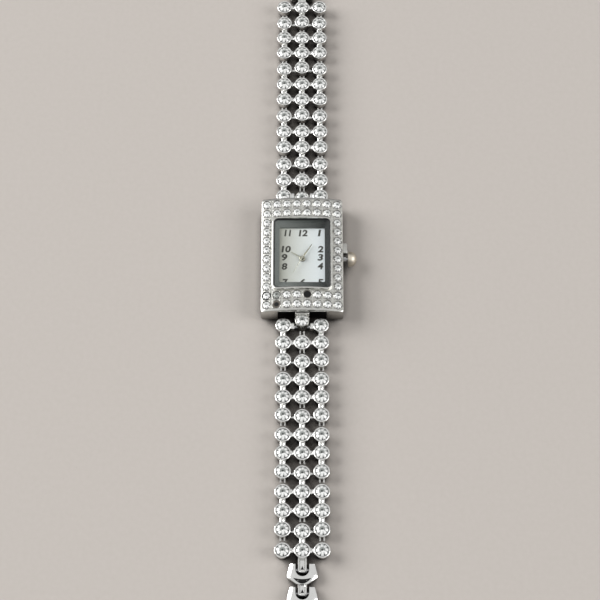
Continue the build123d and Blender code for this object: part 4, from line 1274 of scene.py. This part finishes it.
@dataclass
class Strap:
    """One side of the bracelet: rows of stone cups in five rigid brick-linked groups.

    Distances along the strap start at the case's end. A group is given by the rows of its two outer
    columns and by the rows of its centre column.
    """

    clock: int
    pitch: float = 4.77
    column: float = 4.76
    gap: float = 0.47
    first: float = 2.45
    case_end: float = CASE_LENGTH / 2
    rim: float = 1.98
    height: float = 3.4
    base: float = 1.4
    bezel: float = 0.42
    facets: int = 28
    stone: float = 1.47
    table: float = 0.96
    rise: float = 0.34
    point: float = 0.9
    sink: float = 0.11
    neck_height: float = 2.55
    wire_place: float = 0.5
    wire_height: float = 2.6
    wire_reach: float = 2.2
    lug_wire_reach: float = 2.45
    collar_height: float = 2.5
    eye_place: float = 2.46
    eye_height: float = 2.1
    tongue_root: float = 1.2
    tongue_reach: float = 4.5
    groups: tuple[tuple[tuple[int, ...], tuple[int, ...]], ...] = (
        ((1, 2, 3), (2,)), ((4, 5, 6), (3, 4, 5)), ((7, 8, 9), (6, 7, 8)), ((10, 11, 12), (9, 10, 11)),
        ((13,), (12, 13)),
    )

    @property
    def side(self) -> int:
        """The direction along Y: 1 towards 12 o'clock."""
        return 1 if self.clock == 12 else -1

    @property
    def end_cup(self) -> float:
        """Place of the last centre cup along Y, from the middle of the case."""
        return self.case_end + self.distance(self.groups[-1][1][-1], True)

    @property
    def end_pivot(self) -> float:
        """Place of the pivot in the last group's tongue, from the middle of the case."""
        return self.end_cup + self.tongue_reach

    def distance(self, row: int, middle: bool) -> float:
        """Distance from the case's end to a cup, with the extra gap at every pivot passed.

        Args:
            row: the cup's row, counted from 1.
            middle: whether it is in the centre column, whose groups break one row earlier.
        Returns:
            The distance to its centre.
        """
        gaps = row // 3 if middle else (row - 1) // 3
        return self.first + (row - 1) * self.pitch + gaps * self.gap

    def pivot(self, group: int) -> float:
        """Distance to the pivot after a group, half a gap past its last outer row."""
        return self.distance(self.groups[group][0][-1], False) + self.gap / 2

    def cups(self, group: int) -> list[tuple[float, float]]:
        """Places of a group's cups.

        Args:
            group: the group's index.
        Returns:
            x and distance of each cup, outer columns first.
        """
        outer, centre = self.groups[group]
        places = [(x, self.distance(row, False)) for x in (-self.column, self.column) for row in outer]
        return places + [(0.0, self.distance(row, True)) for row in centre]

    def at(self, nodes: np.ndarray, x: float, distance: float, height: float = 0.0) -> np.ndarray:
        """Moves a shape from its own centre to a place on the strap.

        Args:
            nodes: points of the shape.
            x: place across the strap.
            distance: place along the strap.
            height: how far it is raised.
        Returns:
            The moved points.
        """
        return nodes + np.array([x, self.side * (self.case_end + distance), height])

    def _neck(self, length: float, rails: float, gap: float, thick: float) -> np.ndarray:
        """Two round rails side by side over a web: a closed section carried along Y.

        Args:
            length: size along Y.
            rails: width of each rail.
            gap: space between the rails.
            thick: height of the rails' rounding over the middle and of the web under it.
        Returns:
            A grid of two rows about the section's middle.
        """
        middle, half = gap / 2 + rails / 2, rails / 2
        bump = [(middle + half * cos(t), thick * sin(t)) for t in np.linspace(0, pi, 6)]
        top = bump + [(-x, z) for x, z in bump[::-1]]
        section = np.array(top + [(-middle - half, -thick), (middle + half, -thick)])
        return np.stack([
            np.column_stack([section[:, 0], np.full(len(section), y), section[:, 1]])
            for y in (-length / 2, length / 2)
        ])

    def _rod(self, radius: float, half: float) -> np.ndarray:
        """A round rod along X.

        Args:
            radius: its radius.
            half: half its length.
        Returns:
            A grid about its middle.
        """
        profile = [(0, -half), (radius, -half), (radius, -half * 0.3), (radius, half * 0.3), (radius, half),
                   (0, half)]
        return lay_along_x(revolve(profile, 16))

    def _cup_walls(self, skin: Skin, group: int) -> None:
        """Adds the cups: a wall that widens up to a broad rolled rim, and a well for the stone, dark with
        painted shade.

        Args:
            skin: the mesh that they are added to.
            group: the group's index.
        """
        r, h = self.rim, self.height
        mouth = r - self.bezel
        wall = revolve([(0, 0), (self.base - 0.06, 0), (self.base, 0.06), (r - 0.04, h - 0.35), (r, h - 0.14),
                        (r - 0.03, h - 0.04), (r - 0.1, h), (mouth + 0.07, h - 0.01), (mouth, h - 0.1)],
                       self.facets)
        well = revolve([(mouth, h - 0.1), (mouth - 0.03, h - 0.45), (1.2, h - 1.15), (0, h - 1.2)],
                       self.facets)
        for x, distance in self.cups(group):
            skin.grid(self.at(wall, x, distance))
            skin.grid(self.at(well, x, distance), slot=1)

    def _necks(self, skin: Skin, group: int) -> None:
        """Adds double rails between the cups of a column, and pairs of wires over the pivots.

        Args:
            skin: the mesh that they are added to.
            group: the group's index.
        """
        outer, centre = self.groups[group]
        lines = [(x, outer, False) for x in (-self.column, self.column)] + [(0.0, centre, True)]
        neck = self._neck(1.4, 0.62, 0.2, 0.31)
        wire = self._neck(1.2, 0.2, 0.0, 0.12)
        lug_wire = self._neck(1.7, 0.2, 0.0, 0.12)
        for x, rows, middle in lines:
            for row in rows[:-1]:
                between = self.distance(row, middle) + self.pitch / 2
                skin.grid(self.at(neck, x, between, self.neck_height), caps=True)
            if group == len(self.groups) - 1:
                continue
            for across in (x - self.wire_place, x + self.wire_place):
                past = self.distance(rows[-1], middle) + self.wire_reach
                skin.grid(self.at(wire, across, past, self.wire_height), caps=True)
                if group == 0 and middle:
                    before = self.distance(rows[0], True) - self.lug_wire_reach
                    skin.grid(self.at(lug_wire, across, before, self.wire_height), caps=True)

    def _collars(self, skin: Skin, group: int) -> None:
        """Adds a rod and a pair of collars between neighbouring cups of one row.

        Args:
            skin: the mesh that they are added to.
            group: the group's index.
        """
        outer, centre = self.groups[group]
        collar = np.array([(0.07, -0.6), (0.56, -0.6), (0.56, 0.6), (0.07, 0.6)])
        for row in sorted(set(outer) & set(centre)):
            distance = self.distance(row, True)
            for x in (-self.column / 2, self.column / 2):
                skin.grid(self.at(self._rod(0.4, 0.3), x, distance, self.collar_height))
                for half in (collar, collar * (-1, -1)):
                    skin.grid(self.at(plate(half, 1.9, 3.2, 0.12), x, distance), caps=True)

    def _hinges(self, skin: Skin, group: int) -> None:
        """Adds the eye plates on the spring bar, or the rods at the group's pivots.

        Args:
            skin: the mesh that they are added to.
            group: the group's index.
        """
        if group == 0:
            # a bevelled eye plate and a barrel at each side of the lug
            eye = np.array([(-0.46, -0.95), (0.46, -0.95), (0.46, 0.95), (-0.46, 0.95)])
            for x in (-self.eye_place, self.eye_place):
                skin.grid(self.at(plate(eye, 1.15, 3.08, 0.16), x, self.first), caps=True)
                skin.grid(self.at(self._rod(0.5, 0.62), x, self.first, self.eye_height))
        else:
            skin.grid(self.at(self._rod(0.6, 2.35), 0, self.pivot(group - 1), PIVOT_HEIGHT))
        if group < len(self.groups) - 1:
            skin.grid(self.at(self._rod(0.34, 3.2), 0, self.pivot(group), PIVOT_HEIGHT))

    def build(self) -> None:
        """Builds the five groups and their stones in place of the plain ones."""
        spread = np.random.default_rng(self.clock)
        for group in range(len(self.groups)):
            number = group + 1
            body = f"strap{self.clock}_{number}"
            metal = Skin()
            self._cup_walls(metal, group)
            self._necks(metal, group)
            self._collars(metal, group)
            self._hinges(metal, group)
            if number == len(self.groups):
                EndPiece.tongue(metal, self.side, self.end_cup + self.tongue_root, self.end_pivot,
                                (0.84, 0.86, 0.88, 0.9))
            metal.build(f"cups{self.clock}_{number}", body, (Finish.BRACELET_PLATE, Finish.SEAT_SHADE_AND_OXIDE),
                        "bracelet_metal", (f"strap{self.clock}_bars_{number}",))
            gems = Skin()
            for x, distance in self.cups(group):
                turn = spread.uniform(-0.2, 0.2)
                points, uvs, faces = cut_stone(self.stone, self.table, self.rise, self.point, turn)
                tilt = spread.uniform(-0.04, 0.04, 2)
                points[:, 2] += points[:, 0] * tilt[0] + points[:, 1] * tilt[1]
                gems.solid(self.at(points, x, distance, self.height - self.sink), uvs, faces)
            gems.build(f"gems{self.clock}_{number}", body, (Finish.CUT_CRYSTAL,), "clear_stone",
                       (f"strap{self.clock}_stones_{number}",))


# End links and clasp


@dataclass
class EndPiece:
    """Shapes shared by the end links, the catch loop and the last strap group.

    Distances along an end piece are measured from its start, the edge on the side of the case.
    """

    side: int
    start: float
    notch_half: float = 1.535
    notch_depth: float = 3.06
    nose: float = 0.95
    waist: float = 0.9
    dimple: tuple[float, float] = (2.2, 2.42)

    @classmethod
    def tongue(cls, skin: Skin, side: int, start: float, pivot: float, root: tuple[float, ...]) -> None:
        """Adds a tongue with two raised rails, flanks dark with painted shade, a dimple and a round nose.

        The side view runs from its root to a half circle about the pivot; across it, the rails stand
        above a lower middle.

        Args:
            skin: the mesh that it is added to.
            side: direction along Y.
            start: where the root begins, along the bracelet.
            pivot: the pivot's place along the bracelet.
            root: half thicknesses over the first run.
        """
        across = np.array([-1.1, -1.1, -1.0, -0.72, -0.5, 0.0, 0.5, 0.72, 1.0, 1.1, 1.1])
        rise = np.array([-1.0, 0.85, 1.0, 1.0, 0.72, 0.66, 0.72, 1.0, 1.0, 0.85, -1.0])
        turns = np.linspace(0, pi / 2, 6)
        first_run = [start, start + 0.75, start + 1.1, start + 1.5]
        along = np.concatenate([first_run, pivot + cls.nose * np.sin(turns)])
        half = np.concatenate([root, [cls.waist], cls.nose * np.cos(turns[1:])])
        rows = np.stack([
            np.tile(across, (len(along), 1)), np.repeat(side * along[:, None], len(across), 1),
            PIVOT_HEIGHT + half[:, None] * rise,
        ], axis=-1)
        first = len(skin.faces)
        skin.grid(rows, caps=True)
        # painted shade on the tongue's flanks
        for row in range(len(along) - 1):
            for column in (0, len(across) - 2):
                skin.slots[first + row * len(across) + column] = 1
        # the dimple is a thin patch of painted shade on the lower middle
        corners = np.array([(-0.4, 0.05), (0.4, 0.05), (0.0, -0.85)])
        place = np.column_stack([corners[:, 0], side * (pivot + corners[:, 1])])
        skin.grid(np.array([lift(place, height) for height in cls.dimple]), caps=True, slot=1)

    def _notched(self, half_back: float) -> list[tuple[float, float]]:
        """The path along the back edge and round the notch, from the right side to the left.

        Args:
            half_back: half width of the back edge.
        Returns:
            x and distance of each point.
        """
        centre = self.notch_depth - self.notch_half
        arc = [(self.notch_half * cos(t), centre + self.notch_half * sin(t)) for t in np.linspace(0, pi, 13)]
        return [(half_back, 0.0), (self.notch_half, 0.0)] + arc + [(-self.notch_half, 0.0), (-half_back, 0.0)]

    def outline(self, front: list[tuple[float, float]], half_back: float) -> np.ndarray:
        """A closed outline: the notch at the case side, then the front points from left to right.

        Args:
            front: x and distance of the front points.
            half_back: half width of the back edge.
        Returns:
            Points as an array of x and y, counter-clockwise.
        """
        points = np.array(self._notched(half_back) + front)
        line = np.column_stack([points[:, 0], self.side * (self.start + points[:, 1])])
        area = np.sum(line[:, 0] * np.roll(line[:, 1], -1) - np.roll(line[:, 0], -1) * line[:, 1])
        return line if area > 0 else line[::-1]


@dataclass
class EndLink(EndPiece):
    """A six-sided link with broad bevels, a notch for the tongue before it and its own tongue.

    Ahead is the distance from its start to its own pivot, and pitch the one from there to the next
    pivot. The crescent on the front bevel lies between two curved lines, each given by its place in the
    middle and its fall at the tips. A point's distance to the slanting front edge on its side is
    slant[0] - slant[1] |x| - slant[2] y.
    """

    name: str = ""
    body: str = ""
    node: str = ""
    ahead: float = 1.4
    pitch: float = 5.7
    half_back: float = 2.95
    front: tuple[tuple[float, float], ...] = (
        (-3.58, 2.5), (-3.58, 3.3), (-1.3, 4.95), (1.3, 4.95), (3.58, 3.3), (3.58, 2.5),
    )
    bottom: float = 0.75
    top: float = 2.75
    bevel: float = 0.85
    drop: float = 0.5
    notch_edge: float = 0.12
    arm_edge: float = 0.14
    arm_half: float = 2.11
    crescent_half: float = 2.1
    crescent: tuple[tuple[float, float], ...] = ((3.88, 0.33), (4.86, 1.21))
    slant: tuple[float, float, float] = (4.77, 0.586, 0.81)
    tongue_root: float = 3.95

    def _plate(self, skin: Skin) -> None:
        """Adds the bevelled plate, with notch walls dark with painted shade.

        Args:
            skin: the mesh that it is added to.
        """
        line = self.outline(list(self.front), self.half_back)
        # only the outer edges have the broad bevel; the notch has a narrow one
        moved = inset(line, self.bevel)
        notch = np.abs(line[:, 0]) < self.notch_half + 0.01
        notch &= np.abs(line[:, 1]) < self.start + self.notch_depth + 0.1
        moved[notch] = inset(line, self.notch_edge)[notch]
        # the arms end square, with a narrow edge
        back = np.abs(np.abs(line[:, 1]) - self.start) < 0.01
        moved[back, 1] = self.side * (self.start + self.arm_edge)
        moved[back & ~notch, 0] = np.sign(line[back & ~notch, 0]) * self.arm_half
        rings = [lift(line, self.bottom), lift(line, self.top - self.drop), lift(moved, self.top)]
        skin.grid(np.array(rings), caps=True, flat=True)
        # painted shade on the notch walls
        notch_walls = np.tile(notch & np.roll(notch, -1), 2)
        skin.slots[:len(notch_walls)] = notch_walls.astype(int).tolist()

    def _crescent(self, skin: Skin) -> None:
        """Adds a thin patch of painted shade on the front bevel, where the real link has a shallow hollow.

        A line is y = middle - fall (x / half)^2. Its height is the top less the bevel's drop, which
        grows with the distance past the crease.

        Args:
            skin: the mesh that it is added to.
        """
        across = self.crescent_half * np.linspace(-1, 1, 15)
        near, far = (np.column_stack([across, middle - fall * (across / self.crescent_half) ** 2])
                     for middle, fall in self.crescent)
        # seven lines from near to far, so that the patch follows the crease between flat and bevel
        lines = [(share, 0.025) for share in np.linspace(0, 1, 7)]
        patch = []
        for share, rise in [(0, -0.2), *lines, (1, -0.2)]:
            line = near + (far - near) * share
            to_slant = self.slant[0] - self.slant[1] * np.abs(line[:, 0]) - self.slant[2] * line[:, 1]
            edge = np.minimum(self.front[2][1] - line[:, 1], to_slant)
            level = self.top - self.drop * (1 - np.minimum(edge, self.bevel) / self.bevel) + rise
            patch.append(lift(line * (1, self.side) + (0, self.side * self.start), level))
        skin.grid(np.array(patch), around=False, closed=True, slot=1)

    def build(self) -> None:
        """Builds the link in place of the plain one."""
        skin = Skin()
        self._plate(skin)
        self._crescent(skin)
        next_pivot = self.start + (self.ahead + self.pitch)
        self.tongue(skin, self.side, self.start + self.tongue_root, next_pivot, (0.1, 0.16, 0.62, 0.75))
        skin.build(self.name, self.body, (Finish.BRACELET_PLATE, Finish.SEAT_SHADE_AND_OXIDE), "bracelet_metal",
                   (self.node,))


@dataclass
class CatchLoop(EndPiece):
    """The far end of the 12 o'clock side: a plate that the clasp's hook holds.

    Its slot is drawn as painted shade: a dark floor inside a low rim on the plate's upper side.
    """

    half: float = 2.7
    half_back: float = 2.5
    length: float = 8.6
    corner: float = 1.1
    front_start: float = 0.4
    bottom: float = 0.9
    top: float = 2.6
    bevel: float = 0.22
    slot: tuple[float, float] = (3.0, 2.6)
    slot_corner: float = 0.5
    slot_place: float = 2.6
    slot_rim: float = 1.12

    def build(self) -> None:
        """Builds the loop in place of the plain one."""
        skin = Skin()
        half, length, corner = self.half, self.length, self.corner
        turns = np.linspace(0, pi / 2, 7)
        front = [(-half, self.front_start)]
        front += [(-half + corner - corner * cos(t), length - corner + corner * sin(t)) for t in turns]
        front += [(half - corner + corner * sin(t), length - corner + corner * cos(t)) for t in turns]
        front.append((half, self.front_start))
        line = self.outline(front, self.half_back)
        skin.grid(plate(line, self.bottom, self.top, self.bevel), caps=True)
        slot = soft_rectangle(*self.slot, self.slot_corner, (0.25, 0.5, 0.75))
        middle = np.array([0.0, self.side * (self.start + length - self.slot_place)])
        inner, outer = slot + middle, slot * self.slot_rim + middle
        skin.grid(np.array([lift(inner, self.top - 0.01), lift(outer, self.top), lift(outer, self.top + 0.02),
                            lift(inner, self.top + 0.02)]), closed=True)
        # painted shade: the slot's floor is dark
        floor = self.top + 0.005
        skin.grid(np.array([lift(inner, floor), lift(slot * 0.01 + middle, floor)]), slot=1)
        skin.build("catch_plate", "catch", (Finish.BRACELET_PLATE, Finish.SEAT_SHADE_AND_OXIDE), "bracelet_metal",
                   ("catch_loop",))


@dataclass
class ClaspCover:
    """The clasp's cover: a folded plate with rounded shoulders, a sunk satin panel and hinge eyes."""

    near: float = 94.77
    hinge: float = 108.92
    half: float = 4.12
    top: float = 3.22
    gauge: float = 0.5
    shoulder: float = 0.55
    panel: float = 2.6
    panel_ends: tuple[float, float] = (0.9, 1.2)
    panel_step: float = 0.05
    panel_sink: float = 0.04
    wall_lows: tuple[float, float] = (1.5, 1.1)
    hinge_height: float = 1.85
    eye: float = 0.75

    def build(self) -> None:
        """Builds the cover in place of the plain one.

        The section runs over the outer fold from the right wall to the left and back along the inner
        fold. It is carried along the bracelet while the walls' lower edges drop towards the hinge.
        """
        skin = Skin()
        r, inner = self.shoulder, self.half - self.gauge
        bend = [(self.half - r + r * cos(t), self.top - r + r * sin(t)) for t in np.linspace(0, pi / 2, 6)]
        right = [(self.half, 0.0), *bend, (self.panel, self.top), (self.panel - 0.05, self.top)]
        outer = right + [(-x, z) for x, z in right[::-1]]
        ceiling = self.top - self.gauge
        section = np.array(outer + [(-inner, 0.0), (-inner, ceiling), (inner, ceiling), (inner, 0.0)])
        start, end = self.near + self.panel_ends[0], self.hinge - self.panel_ends[1]
        places = np.array([self.near, start, start + self.panel_step, end - self.panel_step, end, self.hinge])
        lows = np.interp(places, (self.near, self.hinge), self.wall_lows)
        sinks = (0.0, 0.0, self.panel_sink, self.panel_sink, 0.0, 0.0)
        rows = []
        for place, low, depth in zip(places, lows, sinks):
            height = np.where(section[:, 1] > 0, section[:, 1], low)
            on_panel = (np.abs(section[:, 0]) < self.panel - 0.01) & (height > ceiling + 0.1)
            rows.append(np.column_stack([section[:, 0], np.full(len(section), -place),
                                         height - depth * on_panel]))
        skin.grid(np.array(rows), caps=True)
        # the sunk face in the middle of the third run is brushed
        skin.slots[2 * len(section) + len(right) - 1] = 1
        for x in (inner, -self.half):
            eye = lay_along_x(revolve([(0, 0), (self.eye, 0), (self.eye, self.gauge), (0, self.gauge)], 20))
            skin.grid(eye + np.array([x, -self.hinge, self.hinge_height]))
        skin.build("folded_cover", "cover", (Finish.BRACELET_PLATE, Finish.BRUSHED_BACK), "bracelet_metal",
                   ("clasp_cover",))


class Watch:
    """The whole watch: finishes on the kept solids, then every built piece."""

    slots: dict[str, Finish] = {
        "polished_case": Finish.POLISHED_PLATE, "bracelet_metal": Finish.BRACELET_PLATE,
        "brushed_back": Finish.BRUSHED_BACK, "steel_pins": Finish.DRAWN_STEEL,
        "crown_metal": Finish.MATTE_CROWN, "stem_steel": Finish.DRAWN_STEEL,
        "clear_stone": Finish.CUT_CRYSTAL, "crystal_glass": Finish.GLASS, "seal_rubber": Finish.SEAL,
        "grey_ring": Finish.RING_PAINT, "silver_dial": Finish.DIAL_PAINT, "hand_metal": Finish.HAND_METAL,
        "holder_plastic": Finish.HOLDER, "movement_brass": Finish.MOVEMENT, "circuit": Finish.CIRCUIT,
        "cell_steel": Finish.CELL, "copper_wire": Finish.COPPER,
    }

    def dress_nodes(self) -> None:
        """Gives every kept solid the finish of its record slot."""
        for part in frame["record"]["subparts"]:
            node = frame["nodes"][part["node"]]
            finish = self.slots[part["material_slot"]].material()
            if not node.material_slots:
                node.data.materials.append(finish)
            for slot in node.material_slots:
                slot.material = finish

    def build(self) -> None:
        """Builds the pieces, head first."""
        self.dress_nodes()
        CaseBody().build()
        PaveField().build()
        DialWindow().build()
        Crown().build()
        for clock in (6, 12):
            Strap(clock).build()
        first = Strap(6).end_pivot - EndLink.ahead
        second = first + EndLink.pitch
        EndLink(-1, first, name="hex_link6_1", body="link6_1", node="end_link6_1").build()
        EndLink(-1, second, name="hex_link6_2", body="link6_2", node="end_link6_2").build()
        EndLink(1, first, name="hex_link12", body="link12", node="end_link12").build()
        CatchLoop(1, second).build()
        ClaspCover().build()


# Studio


@dataclass
class Studio:
    """Plain pale floor, soft lamps and the camera at the photograph's angle.

    The floor's half width and the lamps' places and sizes are in metres, and their powers in watts. The
    sky is dark where the squared depth of its direction is past the first limit and pale under the second.
    """

    target: tuple[float, float, float] = (-0.55, -10.0, 0.0)
    elevation: float = 64.5
    distance: float = 470.0
    lens: float = 110.14
    lamps: tuple[tuple[tuple[float, float, float], float, float], ...] = (
        ((-2.24, 0.64, 1.52), 2.00, 83.2), ((1.84, -0.40, 1.36), 1.44, 25.6),
    )
    floor_half: float = 2.0
    sky_limits: tuple[float, float] = (0.85, 0.3)
    zenith: str = "#F4F4F4"
    horizon: str = "#3A3A3C"
    sky_diffuse: float = 0.30
    sky_mirrored: float = 0.88

    def _floor(self) -> None:
        """Lays a wide sheet of pale paper under the watch."""
        mesh = bpy.data.meshes.new("floor")
        half = self.floor_half
        mesh.from_pydata([(-half, -half, 0), (half, -half, 0), (half, half, 0), (-half, half, 0)], [],
                         [(0, 1, 2, 3)])
        mesh.materials.append(Finish.FLOOR.material())
        floor = bpy.data.objects.new("floor", mesh)
        bpy.context.scene.collection.objects.link(floor)

    def _light(self) -> None:
        """Hangs soft square lamps that face the watch."""
        for number, (place, size, power) in enumerate(self.lamps):
            lamp = bpy.data.lights.new(f"softbox_{number}", "AREA")
            lamp.size = size
            lamp.energy = power
            holder = bpy.data.objects.new(lamp.name, lamp)
            x, y, z = place
            holder.location = place
            holder.rotation_euler = (atan2(hypot(x, y), z), 0, atan2(y, x) + pi / 2)
            bpy.context.scene.collection.objects.link(holder)

    def _sky(self) -> None:
        """Surrounds the scene with a pale dome that grows dark low in front and behind."""
        world = bpy.data.worlds.new("studio")
        world.use_nodes = True
        tree = world.node_tree
        tree.nodes.clear()
        aim = add_node(tree, "ShaderNodeTexCoord").outputs["Generated"]
        depth = add_node(tree, "ShaderNodeSeparateXYZ", {0: aim}).outputs[1]
        squared = add_node(tree, "ShaderNodeMath", {0: depth, 1: depth}, operation="MULTIPLY").outputs[0]
        dark, pale = self.sky_limits
        rise = add_node(tree, "ShaderNodeMapRange", {0: squared, 1: dark, 2: pale}).outputs[0]
        dome = add_node(tree, "ShaderNodeMix", {
            0: rise, "A": to_linear(self.horizon), "B": to_linear(self.zenith),
        }, data_type="RGBA").outputs[2]
        mirrored = add_node(tree, "ShaderNodeLightPath").outputs["Is Glossy Ray"]
        strength = add_node(tree, "ShaderNodeMapRange", {
            0: mirrored, 3: self.sky_diffuse, 4: self.sky_mirrored,
        })
        glow = add_node(tree, "ShaderNodeBackground", {0: dome, 1: strength.outputs[0]})
        output = add_node(tree, "ShaderNodeOutputWorld")
        tree.links.new(glow.outputs[0], output.inputs[0])
        bpy.context.scene.world = world

    def _camera(self) -> None:
        """Sets the camera: it looks along +Y and down at the target."""
        data = bpy.data.cameras.new("camera")
        data.lens = self.lens
        data.clip_start = 0.01
        camera = bpy.data.objects.new("camera", data)
        tilt = radians(self.elevation)
        x, y, z = (value * MM for value in self.target)
        reach = self.distance * MM
        camera.location = (x, y - reach * cos(tilt), z + reach * sin(tilt))
        camera.rotation_euler = (pi / 2 - tilt, 0, 0)
        bpy.context.scene.collection.objects.link(camera)
        bpy.context.scene.camera = camera

    def build(self) -> None:
        """Sets the whole studio."""
        self._floor()
        self._light()
        self._sky()
        self._camera()
        bpy.context.scene.view_settings.view_transform = "Standard"


def main() -> None:
    """Builds the studio and the watch."""
    logging.basicConfig(level=logging.INFO, format="%(message)s")
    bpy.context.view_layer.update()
    Studio().build()
    Watch().build()


if __name__ == "__main__":
    main()
